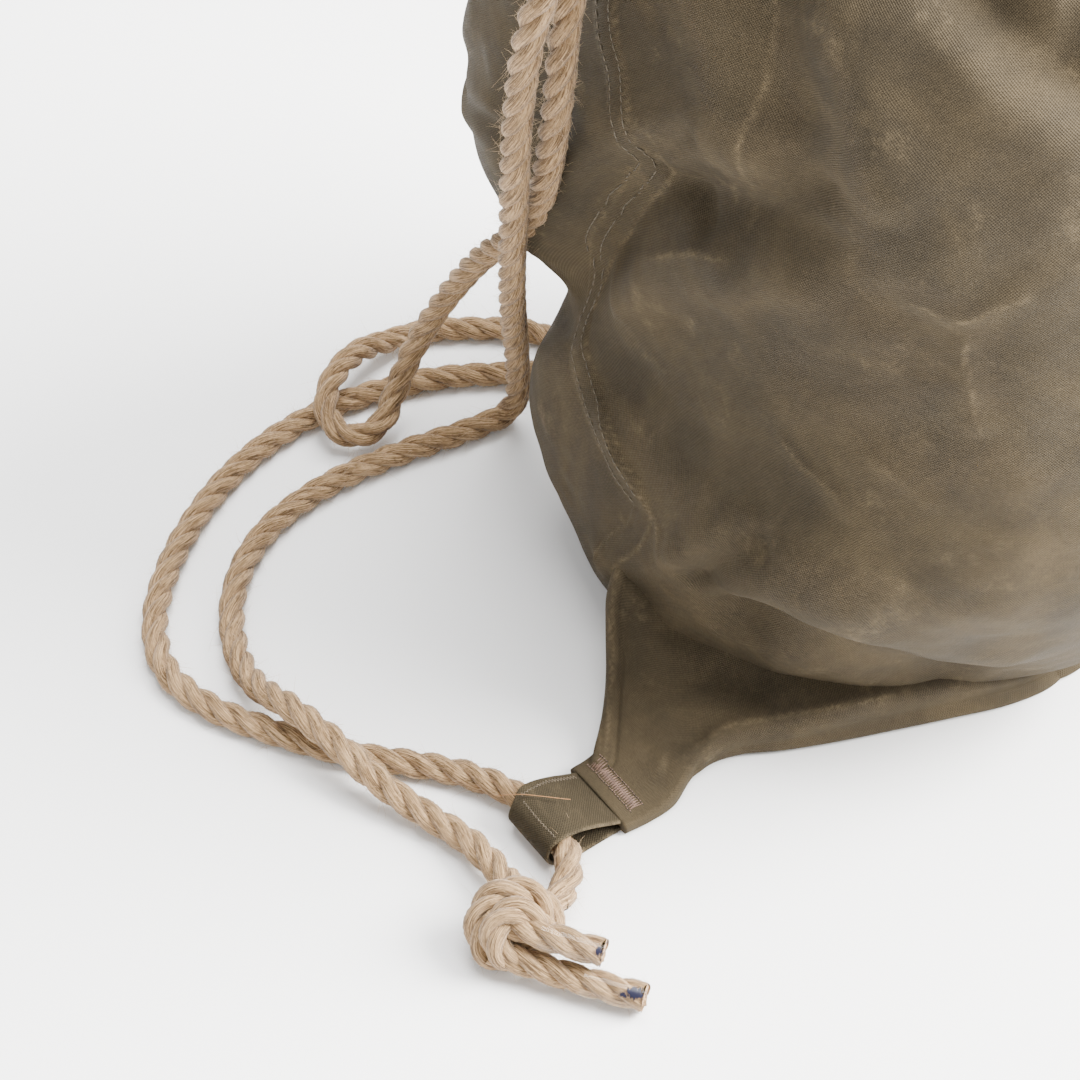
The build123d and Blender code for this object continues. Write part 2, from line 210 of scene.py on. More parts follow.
class Shader:
    """A material and short ways to add and join its nodes."""

    def __init__(self, name, **settings):
        self.material = bpy.data.materials.new(name)
        self.material.use_nodes = True
        self.tree = self.material.node_tree
        self.shader = self.tree.nodes["Principled BSDF"]
        for key, value in settings.items():
            self.shader.inputs[key.replace("_", " ")].default_value = value

    def add(self, kind, **settings):
        node = self.tree.nodes.new(kind)
        for key, value in settings.items():
            setattr(node, key, value)
        return node

    def join(self, source, target):
        self.tree.links.new(source, target)

    def feed(self, node, key, value):
        if isinstance(value, bpy.types.NodeSocket):
            self.join(value, node.inputs[key])
        else:
            node.inputs[key].default_value = value

    def math(self, operation, first, second=0.0, third=0.0, clamp=False):
        node = self.add("ShaderNodeMath", operation=operation, use_clamp=clamp)
        for index, value in enumerate((first, second, third)):
            self.feed(node, index, value)
        return node.outputs[0]

    def scaled(self, vector, size, shift=(0, 0, 0)):
        node = self.add("ShaderNodeMapping")
        self.join(vector, node.inputs["Vector"])
        node.inputs["Scale"].default_value = size
        node.inputs["Location"].default_value = shift
        return node.outputs[0]

    def noise(self, vector, scale, detail=4.0, rough=0.55, warp=0.0):
        node = self.add("ShaderNodeTexNoise")
        self.join(vector, node.inputs["Vector"])
        node.inputs["Scale"].default_value = scale
        node.inputs["Detail"].default_value = detail
        node.inputs["Roughness"].default_value = rough
        node.inputs["Distortion"].default_value = warp
        return node.outputs["Fac"]

    def ramp(self, value, *stops):
        node = self.add("ShaderNodeValToRGB")
        self.join(value, node.inputs[0])
        elements = node.color_ramp.elements
        while len(elements) < len(stops):
            elements.new(0.5)
        for element, (place, colour) in zip(elements, stops):
            element.position = place
            element.color = (*colour, 1) if len(colour) == 3 else colour
        return node.outputs[0]

    def level(self, value, low, high, bottom=0.0, top=1.0):
        node = self.add("ShaderNodeMapRange", interpolation_type="SMOOTHSTEP")
        self.join(value, node.inputs[0])
        for index, number in zip((1, 2, 3, 4), (low, high, bottom, top)):
            node.inputs[index].default_value = number
        return node.outputs[0]

    def mix(self, amount, first, second, mode="MIX"):
        node = self.add("ShaderNodeMix", data_type="RGBA", blend_type=mode)
        self.feed(node, 0, amount)
        for index, value in ((6, first), (7, second)):
            if isinstance(value, tuple) and len(value) == 3:
                value = (*value, 1)
            self.feed(node, index, value)
        return node.outputs[2]

    def bump(self, height, distance, strength=1.0, under=None):
        node = self.add("ShaderNodeBump")
        node.inputs["Strength"].default_value = strength
        node.inputs["Distance"].default_value = distance
        self.join(height, node.inputs["Height"])
        if under is not None:
            self.join(under, node.inputs["Normal"])
        return node.outputs[0]


def canvas_material(name, dark, light, streak, weave=0.95 * MM):
    """Waxed plain-weave canvas: weave in metres on the UV map, mottling and crease lines."""
    s = Shader(name, Roughness=0.66)
    s.shader.inputs["Specular IOR Level"].default_value = 0.13
    uv = s.add("ShaderNodeUVMap", uv_map="UVMap").outputs[0]
    place = s.add("ShaderNodeTexCoord").outputs["Object"]
    split = s.add("ShaderNodeSeparateXYZ")
    s.join(uv, split.inputs[0])
    turns = 2 * math.pi / weave
    wobble = s.math("MULTIPLY", s.noise(place, 70, 2), 2.2)
    across = s.math("ADD", s.math("MULTIPLY", split.outputs[0], turns), wobble)
    along = s.math("ADD", s.math("MULTIPLY", split.outputs[1], turns), wobble)
    warp_thread = s.math("SINE", across)
    weft_thread = s.math("SINE", along)
    cloth = s.math("MULTIPLY", warp_thread, weft_thread)
    cloth_up = s.math("MULTIPLY_ADD", cloth, 0.5, 0.5)
    slub = s.noise(s.scaled(uv, (260, 2200, 1)), 1.0, 2)
    slub_up = s.noise(s.scaled(uv, (2200, 260, 1)), 1.0, 2)
    mottle = s.noise(place, 26, 6, 0.62, 0.6)
    cloud = s.noise(place, 9, 4, 0.5, 0.3)
    # Pale broken lines and rubs where the waxed cloth has been creased.
    broken = s.level(s.noise(place, 620, 3, 0.7), 0.36, 0.64, 0.25, 1.0)
    lines = None
    for scale, width, low, amount in ((15, 0.034, 0.53, 0.55), (37, 0.040, 0.56, 0.5)):
        field = s.noise(place, scale, 2, 0.4, 0.25)
        crease = s.math("ABSOLUTE", s.math("SUBTRACT", field, 0.5))
        line = s.level(crease, 0.0, width, amount, 0.0)
        line = s.math("POWER", line, 2.2)
        line = s.math("MULTIPLY", line, s.level(s.noise(place, scale * 0.6, 3), low, low + 0.2))
        lines = line if lines is None else s.math("MAXIMUM", lines, line)
    rub = s.math("MULTIPLY", s.level(s.noise(place, 48, 5, 0.68), 0.56, 0.74), 0.55)
    marked = s.add("ShaderNodeAttribute", attribute_name="wear").outputs["Fac"]
    worn = s.math("MULTIPLY", marked, s.level(s.noise(place, 130, 4), 0.3, 0.62))
    total = s.math("MAXIMUM", s.math("MAXIMUM", lines, rub), worn)
    total = s.math("MULTIPLY", total, broken)
    total = s.math("MULTIPLY", total, 0.5, clamp=True)
    body = s.mix(s.level(mottle, 0.24, 0.76, 0.1, 0.95), dark, light)
    body = s.mix(s.level(cloud, 0.38, 0.66, 0.0, 0.35), body, dark)
    grain = s.math("MULTIPLY_ADD", cloth_up, 0.75, 0.60)
    grain = s.math("MULTIPLY", grain, s.level(slub, 0.25, 0.75, 0.88, 1.12))
    grain = s.math("MULTIPLY", grain, s.level(slub_up, 0.25, 0.75, 0.9, 1.1))
    shade = s.add("ShaderNodeCombineColor")
    for socket in shade.inputs:
        s.join(grain, socket)
    body = s.mix(1.0, body, shade.outputs[0], "MULTIPLY")
    colour = s.mix(total, body, streak)
    s.join(colour, s.shader.inputs["Base Color"])
    s.join(s.level(mottle, 0.3, 0.7, 0.70, 0.86), s.shader.inputs["Roughness"])
    normal = s.bump(s.noise(place, 160, 3), 0.5 * MM, 0.35)
    normal = s.bump(s.math("ADD", cloth_up, slub), 0.22 * MM, 0.9, normal)
    normal = s.bump(total, 0.12 * MM, 0.5, normal)
    s.join(normal, s.shader.inputs["Normal"])
    return s.material


def jute_material(name):
    """Jute yarn: long fibres along the UV map's second axis, straw to brown."""
    s = Shader(name, Roughness=0.86, Sheen_Weight=0.18, Sheen_Roughness=0.4)
    s.shader.inputs["Specular IOR Level"].default_value = 0.25
    uv = s.add("ShaderNodeUVMap", uv_map="UVMap").outputs[0]
    place = s.add("ShaderNodeTexCoord").outputs["Object"]
    fibre = s.noise(s.scaled(uv, (7000, 330, 1)), 1.0, 3, 0.6)
    thread = s.noise(s.scaled(uv, (2300, 90, 1)), 1.0, 3, 0.6)
    patch = s.noise(place, 60, 4, 0.6)
    pale = (0.49, 0.325, 0.175)
    middle = (0.285, 0.178, 0.086)
    deep = (0.085, 0.048, 0.022)
    fleck = s.noise(s.scaled(uv, (1900, 420, 1)), 1.0, 3, 0.65)
    colour = s.ramp(thread, (0.38, deep), (0.49, middle), (0.62, pale))
    colour = s.mix(s.level(fibre, 0.34, 0.52, 0.75, 0.0), colour, deep)
    colour = s.mix(s.level(fleck, 0.55, 0.66, 0.0, 0.8), colour, deep)
    colour = s.mix(s.level(fleck, 0.28, 0.4, 0.5, 0.0), colour, pale)
    colour = s.mix(s.level(patch, 0.55, 0.75, 0.0, 0.3), colour, pale)
    s.join(colour, s.shader.inputs["Base Color"])
    normal = s.bump(thread, 0.5 * MM, 0.6)
    normal = s.bump(fibre, 0.25 * MM, 0.7, normal)
    s.join(normal, s.shader.inputs["Normal"])
    return s.material


CANVAS_DARK = (0.033, 0.0255, 0.0155)
CANVAS_LIGHT = (0.078, 0.0585, 0.033)
CANVAS_STREAK = (0.22, 0.165, 0.095)
canvas = canvas_material("waxed_canvas", CANVAS_DARK, CANVAS_LIGHT, CANVAS_STREAK)
strap_canvas = canvas_material(
    "strap_canvas", (0.026, 0.0205, 0.0122), (0.046, 0.0355, 0.0205), CANVAS_STREAK, 1.1 * MM
)
jute = jute_material("jute")
fibre = Shader("jute_fibre", Roughness=0.8)
fibre.shader.inputs["Base Color"].default_value = (0.46, 0.33, 0.20, 1)

# ---- ropes --------------------------------------------------------------------------


STRAND_SIDES = 16
BARE = 3  # columns of points next to the rope's middle, where no loose fibre starts


def strand_points(line, places, strand, start_turn):
    """One helical strand of the rope: its points, UVs, and outward directions."""
    _, normals, sideways = carried_frames(line)
    turn = start_turn + 2 * np.pi * (strand / STRANDS + places / LAY)
    outward = np.cos(turn)[:, None] * normals + np.sin(turn)[:, None] * sideways
    centre = line + STRAND_OFFSET * outward
    forward = unit(np.gradient(centre, axis=0))
    out = unit(outward - forward * np.sum(outward * forward, axis=1, keepdims=True))
    beside = np.cross(forward, out)
    slope = math.atan(2 * math.pi * STRAND_OFFSET / LAY)
    travel = places / math.cos(slope)
    angle = np.linspace(-np.pi, np.pi, STRAND_SIDES + 1)
    lean = math.tan(slope) / STRAND_RADIUS
    phase = YARNS * (angle[None] + lean * travel[:, None]) + strand
    ridge = 1 + 0.055 * (np.abs(np.sin(phase / 2)) * 2 - 1.27)
    lumps = 1 + 0.03 * np.sin(places / (9 * MM) * 2 * np.pi + strand * 2.1)[:, None]
    reach = STRAND_RADIUS * ridge * lumps
    ring = (
        np.cos(angle)[None, :, None] * out[:, None]
        + np.sin(angle)[None, :, None] * beside[:, None]
    )
    points = centre[:, None] + reach[..., None] * ring
    across = STRAND_RADIUS * (angle[None] + lean * travel[:, None]) + strand * 0.03
    uv = np.stack((across, np.broadcast_to(travel[:, None], across.shape)), axis=-1)
    return points, uv, ring


def rope(name, line, start_turn=0.0, fuzz=9500):
    """A three-strand rope along a line and its loose fibres, fuzz of them in a metre."""
    even, places = even_line(line, ROPE_STEP)
    all_points, all_uv, all_quads, hair_roots, hair_out, hair_along = [], [], [], [], [], []
    count = 0
    forward = unit(np.gradient(even, axis=0))
    for strand in range(STRANDS):
        points, uv, ring = strand_points(even, places, strand, start_turn)
        rows, columns = points.shape[:2]
        all_points.append(points.reshape(-1, 3))
        all_uv.append(uv.reshape(-1, 2))
        all_quads.append(grid_quads(rows, columns, count))
        count += rows * columns
        hair_roots.append(points[:, BARE:-BARE].reshape(-1, 3))
        hair_out.append(ring[:, BARE:-BARE].reshape(-1, 3))
        along = np.broadcast_to(forward[:, None], ring[:, BARE:-BARE].shape)
        hair_along.append(along.reshape(-1, 3))
    mesh = mesh_of(
        name, np.concatenate(all_points), np.concatenate(all_quads), np.concatenate(all_uv)
    )
    obj = link(name, mesh, jute)
    hairs = int(fuzz * places[-1])
    fluff = hair_mesh(
        name + "_fibres",
        np.concatenate(hair_roots),
        np.concatenate(hair_out),
        np.concatenate(hair_along),
        hairs,
    )
    return obj, fluff


HAIR_LENGTHS = (0.8 * MM, 7.5 * MM)
HAIR_RADIUS = 0.05 * MM
HAIR_STATIONS = 5
HAIR_SIDES = 3
HAIR_LOWEST = 0.15 * MM


def hair_mesh(name, roots, outs, alongs, count):
    """Fine curved fibres rooted at chosen points, mostly lying near the surface."""
    pick = rng.integers(0, len(roots), count)
    root, out, along = roots[pick], outs[pick], alongs[pick]
    length = rng.gamma(2.0, 1.2, count)[:, None] * MM
    length = np.clip(length, *HAIR_LENGTHS)
    sign = rng.choice((-1.0, 1.0), count)[:, None]
    lift = rng.uniform(0.05, 0.8, count)[:, None]
    heading = unit(along * sign + out * lift + rng.normal(0, 0.35, (count, 3)))
    curl = rng.normal(0, 0.55, (count, 3))
    t = np.linspace(0, 1, HAIR_STATIONS)[None, :, None]
    spine = (
        root[:, None]
        + heading[:, None] * length[:, None] * t
        + curl[:, None] * length[:, None] * t**2 * 0.5
    )
    spine[..., 2] = np.maximum(spine[..., 2], HAIR_LOWEST)
    first = unit(np.cross(heading, curl + 0.01))
    second = unit(np.cross(heading, first))
    turn = np.arange(HAIR_SIDES) * 2 * np.pi / HAIR_SIDES
    thick = (HAIR_RADIUS * (1 - 0.65 * np.linspace(0, 1, HAIR_STATIONS)))[None, :, None, None]
    ring = (
        np.cos(turn)[None, None, :, None] * first[:, None, None]
        + np.sin(turn)[None, None, :, None] * second[:, None, None]
    )
    points = (spine[:, :, None] + thick * ring).reshape(-1, 3)
    one = grid_quads(HAIR_STATIONS, HAIR_SIDES, wrap=True)
    first_point = np.arange(count) * HAIR_STATIONS * HAIR_SIDES
    quads = (one[None] + first_point[:, None, None]).reshape(-1, 4)
    return link(name, mesh_of(name, points, quads), fibre.material)


def metres(points):
    return np.array(points, dtype=float) * MM


left_line = smooth_line(metres(LEFT_RUN))
right_line = smooth_line(metres(RIGHT_RUN))
left_rope, left_fluff = rope("left_rope", left_line)
right_rope, right_fluff = rope("right_rope", right_line, start_turn=1.1)

neck_turn = np.radians(np.linspace(180 + LEFT_GAP_DEG, 540 - LEFT_GAP_DEG, 90))
neck_line = np.stack(
    (
        NECK_CENTRE[0] + NECK_RADIUS * np.cos(neck_turn),
        NECK_CENTRE[1] + NECK_RADIUS * np.sin(neck_turn),
        np.full(len(neck_turn), NECK_CENTRE[2]),
    ),
    axis=1,
)
neck_rope, neck_fluff = rope("neck_rope_strands", neck_line * MM, fuzz=1500)

# ---- sack body ----------------------------------------------------------------------

AROUND = 520  # points round the body
ROW_STEP = 1.35  # millimetres between rows
CLOTH_ROUND = 0.74  # flat distance round the sack, metres
CLOTH_LOWEST = 0.3  # millimetres, so that the cloth stays off the floor

# Horizontal sections, millimetres: height, half width, front y, back y, squareness of the
# front and of the back.
BODY_SECTIONS = [
    (0.6, 60.0, -46.0, 40.0, 1.8, 2.4),
    (0.6, 100.0, -84.0, 62.0, 1.5, 3.0),
    (3.0, 107.0, -95.0, 72.0, 1.45, 3.2),
    (10.0, 113.0, -103.5, 79.0, 1.4, 3.4),
    (30.0, 118.0, -116.5, 88.0, 1.35, 4.0),
    (50.0, 119.0, -126.5, 94.0, 1.45, 4.6),
    (72.0, 119.0, -131.5, 97.0, 1.8, 4.8),
    (98.0, 113.0, -134.5, 92.0, 2.35, 4.8),
    (108.0, 107.0, -134.0, 93.0, 2.5, 5.0),
    (118.0, 103.5, -133.5, 109.0, 2.5, 5.4),
    (132.0, 102.0, -132.0, 124.0, 2.45, 6.2),
    (165.0, 102.0, -129.5, 132.0, 2.4, 6.8),
    (200.0, 104.5, -126.5, 136.0, 2.5, 6.8),
    (250.0, 103.5, -121.0, 131.0, 2.5, 5.2),
    (295.0, 97.0, -108.5, 114.0, 2.3, 3.4),
    (330.0, 80.0, -82.0, 90.0, 2.2, 2.6),
    (355.0, 58.0, -56.0, 64.0, 2.1, 2.2),
    (371.0, 44.0, -40.0, 48.0, 2.0, 2.0),
]


def catmull(values, knots, at):
    """Catmull-Rom through rows of values at knots, evaluated at places."""
    slopes = np.gradient(values, knots, axis=0)
    index = np.clip(np.searchsorted(knots, at) - 1, 0, len(knots) - 2)
    span = (knots[index + 1] - knots[index])[:, None]
    t = (at[:, None] - knots[index][:, None]) / span
    return (
        (2 * t**3 - 3 * t**2 + 1) * values[index]
        + (t**3 - 2 * t**2 + t) * span * slopes[index]
        + (3 * t**2 - 2 * t**3) * values[index + 1]
        + (t**3 - t**2) * span * slopes[index + 1]
    )


def even_ring(half_width, front, back, front_square, back_square):
    """Points an even distance apart round a section, from the middle of the front."""
    turn = np.linspace(-0.5 * np.pi, 1.5 * np.pi, 4001)
    cosine, sine = np.cos(turn), np.sin(turn)
    square = np.where(sine > 0, back_square, front_square)
    x = np.sign(cosine) * np.abs(cosine) ** (2 / square) * half_width
    y = (front + back) / 2 + np.sign(sine) * np.abs(sine) ** (2 / square) * (back - front) / 2
    at = np.concatenate(([0.0], np.cumsum(np.hypot(np.diff(x), np.diff(y)))))
    places = np.linspace(0, at[-1], AROUND + 1)
    return np.interp(places, at, x), np.interp(places, at, y)


def body_base():
    """The sack's plain filled shape, rows from the ground up: an array of points in mm."""
    table = np.array(BODY_SECTIONS)
    reach = np.hypot(np.diff(table[:, 0]), np.diff(table[:, 2]) * 0.8)
    knots = np.concatenate(([0.0], np.cumsum(np.maximum(reach, 2.0))))
    at = np.linspace(0, knots[-1], int(knots[-1] / ROW_STEP))
    rows = catmull(table, knots, at)
    rows[:, 0] = np.maximum(rows[:, 0], 0.4)
    rings = []
    for z, *shape in rows:
        x, y = even_ring(*shape)
        rings.append(np.stack((x, y, np.full_like(x, z)), axis=1))
    return np.array(rings)


# ---- sack surface detail --------------------------------------------------------------

# Folds of the cloth: how deep, how wide (both mm; a negative depth is a raised fold), how
# pale the wax has worn along it, and its line over the surface.
FOLDS = [
    (9.5, 12.0, 0.1, [(-94, 92, 100), (-101, 74, 112), (-103, 47, 152), (-104, 20, 195),
                      (-105, -7, 209), (-102, -33, 220), (-98, -54, 224), (-91, -74, 222)]),
    (9.0, 16.0, 0.0, [(-98, -54, 226), (-100, -43, 249), (-100, -29, 271), (-94, -16, 300)]),
    (-5.0, 17.0, 0.0, [(-92, -38, 305), (-95, -52, 276), (-92, -66, 254), (-87, -82, 232),
                       (-88, -80, 208)]),
    (-4.0, 15.0, 0.0, [(-105, 40, 130), (-106, 18, 160), (-106, -12, 178), (-103, -40, 188)]),
    (6.5, 10.0, 0.0, [(-74, -62, 316), (-66, -80, 302), (-58, -94, 290), (-40, -108, 280)]),
    (2.2, 5.0, 0.2, [(-104, 22, 199), (-104, 2, 203), (-103, -12, 196)]),
    (2.0, 4.0, 0.2, [(-104, 24, 200), (-104, 8, 222), (-103, -6, 236)]),
    (0.5, 1.6, 1.0, [(-96, -14, 296), (-99, -19, 285), (-102, -24, 256), (-103, -23, 240),
                     (-104, -23, 221)]),
    (-0.7, 2.2, 0.9, [(-102, 18, 170), (-104, -3, 187), (-103, -26, 200)]),
    (-1.4, 4.0, 0.8, [(-90, -77, 215), (-86, -85, 215), (-78, -96, 213), (-72, -102, 220),
                      (-64, -108, 224)]),
    (-1.3, 4.5, 0.8, [(-77, -97, 211), (-77, -97, 200), (-73, -101, 180), (-70, -104, 165)]),
    (-1.2, 3.0, 1.0, [(-112, 34, 100), (-117, 12, 88), (-118, -6, 82), (-119, -20, 68)]),
    (-1.0, 3.5, 0.9, [(-100, -43, 138), (-98, -57, 130), (-95, -72, 127), (-95, -79, 119)]),
    (-0.9, 3.5, 0.8, [(-91, -74, 148), (-85, -87, 143), (-79, -100, 135)]),
    (3.0, 7.0, 0.3, [(-98, 96, 205), (-96, 112, 190), (-90, 126, 180), (-70, 134, 178)]),
    (2.6, 5.0, 0.4, [(-101, 84, 182), (-98, 104, 178), (-92, 120, 176)]),
    (7.0, 14.0, 0.1, [(100, -66, 172), (105, -20, 186), (104, 22, 178), (102, 60, 148),
                      (94, 92, 120)]),
    (4.0, 10.0, 0.2, [(52, -120, 196), (78, -104, 208), (98, -64, 226), (100, -30, 250)]),
    (5.0, 13.0, 0.1, [(-64, 134, 150), (-24, 132, 128), (28, 132, 132), (70, 128, 150)]),
    (3.6, 9.0, 0.3, [(84, 118, 236), (42, 128, 222), (-4, 132, 228), (-46, 131, 244)]),
    (3.4, 9.0, 0.3, [(18, -134, 124), (48, -124, 98), (78, -98, 76), (100, -68, 60)]),
    (-2.4, 8.0, 0.5, [(116, -20, 66), (104, -58, 92), (80, -96, 118), (40, -122, 150)]),
    (3.0, 8.0, 0.3, [(-30, -128, 236), (2, -126, 218), (34, -124, 226)]),
    (3.0, 9.0, 0.2, [(60, 92, 60), (20, 96, 82), (-30, 95, 76), (-70, 90, 58)]),
    (15.0, 15.0, 0.0, [(-119, -30, 44), (-112, -62, 56), (-99, -84, 50), (-82, -96, 38),
                       (-60, -103, 26), (-38, -108, 16)]),
    (6.0, 6.0, 0.2, [(-118, -26, 58), (-116, -38, 78), (-112, -50, 93), (-106, -58, 104)]),
    (-4.0, 8.0, 0.0, [(-118, 22, 34), (-119, 4, 46), (-119, -16, 64), (-116, -30, 84)]),
]
# Broad swellings of the filling: centre, radius and height, mm.
SWELLINGS = [
    ((-98, 112, 168), 44, 9.5),
    ((-92, 98, 215), 34, 3.0),
    ((-30, -118, 130), 60, 4.0),
    ((60, -90, 150), 46, 4.0),
    ((88, 96, 196), 44, 5.0),
    ((-60, -100, 250), 40, 4.0),
    ((20, 128, 190), 46, 3.0),
]
SIDE_SEAM = [
    (-45, 3, 371), (-62, 6, 352), (-84, 16, 325), (-96, 30, 296), (-102, 42, 266),
    (-104, 40, 246), (-105, 32, 230), (-104, 22, 200), (-103, 32, 184), (-102, 44, 163),
    (-102, 54, 138), (-103, 53, 118), (-108, 44, 105), (-114, 30, 95), (-117, 12, 86),
    (-118, -2, 80), (-119, -1, 66), (-119, 8, 50), (-118, 14, 30),
]
FAR_SEAM = [
    (45, 4, 371), (62, 6, 352), (84, 8, 325), (97, 4, 292), (103, 8, 250), (104, 2, 205),
    (103, 10, 160), (104, 4, 120), (114, 6, 96), (118, 2, 70), (118, 4, 34),
]


def fine_line(points, step=2.0):
    """A smooth line through a few points, mm."""
    points = np.array(points, dtype=float)
    runs = np.linalg.norm(np.diff(points, axis=0), axis=1)
    knots = np.concatenate(([0.0], np.cumsum(runs)))
    at = np.linspace(0, knots[-1], int(knots[-1] / step) + 2)
    return catmull(points, knots, at)


def distance_to(places, line):
    """Distance from each place to a polyline, and how far along it the nearest point is."""
    best = np.full(len(places), 1e9)
    along = np.zeros(len(places))
    low = line.min(axis=0) - 60
    high = line.max(axis=0) + 60
    near = np.all((places > low) & (places < high), axis=1)
    some = places[near]
    if len(some) == 0:
        return best, along
    part_best = np.full(len(some), 1e9)
    part_along = np.zeros(len(some))
    for index, (start, end) in enumerate(zip(line, line[1:])):
        run = end - start
        t = np.clip((some - start) @ run / (run @ run), 0, 1)
        gap = np.linalg.norm(some - start - t[:, None] * run, axis=1)
        closer = gap < part_best
        part_best[closer] = gap[closer]
        part_along[closer] = index + t[closer]
    best[near] = part_best
    along[near] = part_along / (len(line) - 1)
    return best, along


def waves(places, size, seed, count=9):
    """Smooth random ups and downs of about one size, from -1 to 1."""
    source = np.random.default_rng(seed)
    total = np.zeros(len(places))
    for _ in range(count):
        heading = unit(source.normal(size=3))
        length = size * source.uniform(0.7, 1.5)
        total += np.sin(places @ heading * 2 * np.pi / length + source.uniform(0, 6.28))
    return total / math.sqrt(count) / 1.4


def grid_normals(points, outward_from):
    """Normals of a closed grid of points, turned away from a middle point."""
    down = np.gradient(points, axis=0)
    across = np.roll(points, -1, axis=1) - np.roll(points, 1, axis=1)
    normal = unit(np.cross(across, down))
    away = np.sum(normal * (points - outward_from), axis=-1, keepdims=True)
    flip = np.where(np.mean(away) < 0, -1.0, 1.0)
    return normal * flip


def eased(value, low, high):
    t = np.clip((value - low) / (high - low), 0, 1)
    return t * t * (3 - 2 * t)


def seam_profile(gap, along, length):
    """Height of a flat-felled seam above the cloth at a distance from its middle line."""
    pucker = 1 + 0.35 * np.sin(along * length / 5.2) * np.sin(along * length / 23.0)
    band = eased(gap, 5.4, 4.0)
    stitch = np.exp(-(((gap - 3.0) / 0.6) ** 2))
    return 1.15 * band * pucker - 0.45 * stitch


# The drawn neck: distance out from the neck's middle, and height, mm.
HEM = [(44, 371), (46.6, 374), (48.3, 379), (48.6, 384), (46.6, 389.5), (41, 392.3),
       (35, 391), (31.6, 386), (31.8, 380), (34, 374), (38.5, 368), (45, 358), (52, 347),
       (58, 336)]
LIP = [(44, 371), (44.6, 372.6), (44.4, 374.4), (43.4, 376.2), (42, 377.6), (40.4, 378),
       (38.8, 377.4), (38, 375.6), (38, 373), (38.6, 370), (40.5, 366), (45, 357),
       (52, 347), (58, 336)]


def body_surface():
    """The sack's cloth: points in mm, row by row, and how worn each point is."""
    base = body_base()
    rows = len(base)
    turn = np.linspace(-0.5 * np.pi, 1.5 * np.pi, AROUND + 1)
    degrees = np.degrees(turn)
    left = 1 - eased(np.abs(degrees - 180), LEFT_GAP_DEG - 3, LEFT_GAP_DEG + 5)
    right = 1 - eased(np.abs(degrees), 12, 18)
    gap = np.maximum(left, right)[None, :, None]
    hem = fine_line([(r, 0, z) for r, z in HEM], 1.3)
    lip = fine_line([(r, 0, z) for r, z in LIP], 1.3)
    count = len(hem)
    lip = np.stack([np.interp(np.linspace(0, 1, count), np.linspace(0, 1, len(lip)), lip[:, k])
                    for k in range(3)], axis=1)
    shape = hem[:, None] * (1 - gap) + lip[:, None] * gap
    collar = np.stack(
        (shape[..., 0] * np.cos(turn), 4 + shape[..., 0] * np.sin(turn), shape[..., 2]), axis=-1
    )
    points = np.concatenate((base, collar[1:]), axis=0)
    normal = grid_normals(points[:, :-1], np.array((0.0, 4.0, 180.0)))
    flat = points[:, :-1].reshape(-1, 3)
    out = normal.reshape(-1, 3)
    height = flat[:, 2]
    push = np.zeros(len(flat))
    worn = np.zeros(len(flat))
    for centre, radius, high in SWELLINGS:
        far = np.linalg.norm(flat - np.array(centre, dtype=float), axis=1) / radius
        push += high * np.exp(-(far**2))
    for depth, width, pale, line in FOLDS:
        gap_mm, along = distance_to(flat, fine_line(line, 3.0))
        fade = eased(along, 0.0, 0.16) * eased(1 - along, 0.0, 0.16)
        valley = np.exp(-((gap_mm / width) ** 2))
        shoulder = np.exp(-(((gap_mm - 1.9 * width) / (0.9 * width)) ** 2))
        push += fade * (-depth * valley + 0.28 * max(depth, 0) * shoulder)
        worn = np.maximum(worn, pale * fade * np.exp(-((gap_mm / 0.9) ** 2)))
    calm = eased(height, 4, 30)
    push += calm * (1.5 * waves(flat, 70, 3) + 0.7 * waves(flat, 30, 5))
    push += calm * 0.22 * waves(flat, 12, 8, 14)
    # gathers running down from the drawn neck
    column = np.tile(np.arange(AROUND) / AROUND, len(points))
    sway = 1.9 * np.sin(6 * np.pi * column + 1) + 1.2 * np.sin(14 * np.pi * column + 2)
    pleat = np.sin(2 * np.pi * 25 * column + sway)
    pleat = np.sign(pleat) * np.abs(pleat) ** 0.8 * (1 + 0.35 * np.sin(18 * np.pi * column))
    row = np.repeat(np.arange(len(points)), AROUND)
    reach = eased(height, 268, 356) * (row < rows)
    start = 0.55 + 0.45 * np.sin(10 * np.pi * column + 0.6)
    push += 3.6 * pleat * np.clip(reach - 0.18 * start, 0, 1)
    push += (row >= rows) * 1.0 * pleat * (1 - 0.75 * gap[0, :-1, 0][None].repeat(
        len(points), 0).reshape(-1))
    soft_end = np.where(row >= rows, 1.0, eased(height, 0, 3))
    moved = flat + out * (push * soft_end)[:, None]
    # seams stand on the cloth
    push = np.zeros(len(flat))
    for line, length in ((SIDE_SEAM, 400.0), (FAR_SEAM, 390.0)):
        gap_mm, along = distance_to(flat, fine_line(line, 3.0))
        push += seam_profile(gap_mm, along, length) * (row < rows)
        worn = np.maximum(worn, 0.8 * np.exp(-(((gap_mm - 5.0) / 0.7) ** 2)) * (row < rows))
    moved = moved + out * push[:, None]
    moved[:, 2] = np.maximum(moved[:, 2], CLOTH_LOWEST)
    moved = moved.reshape(len(points), AROUND, 3)
    return moved, worn.reshape(len(points), AROUND)


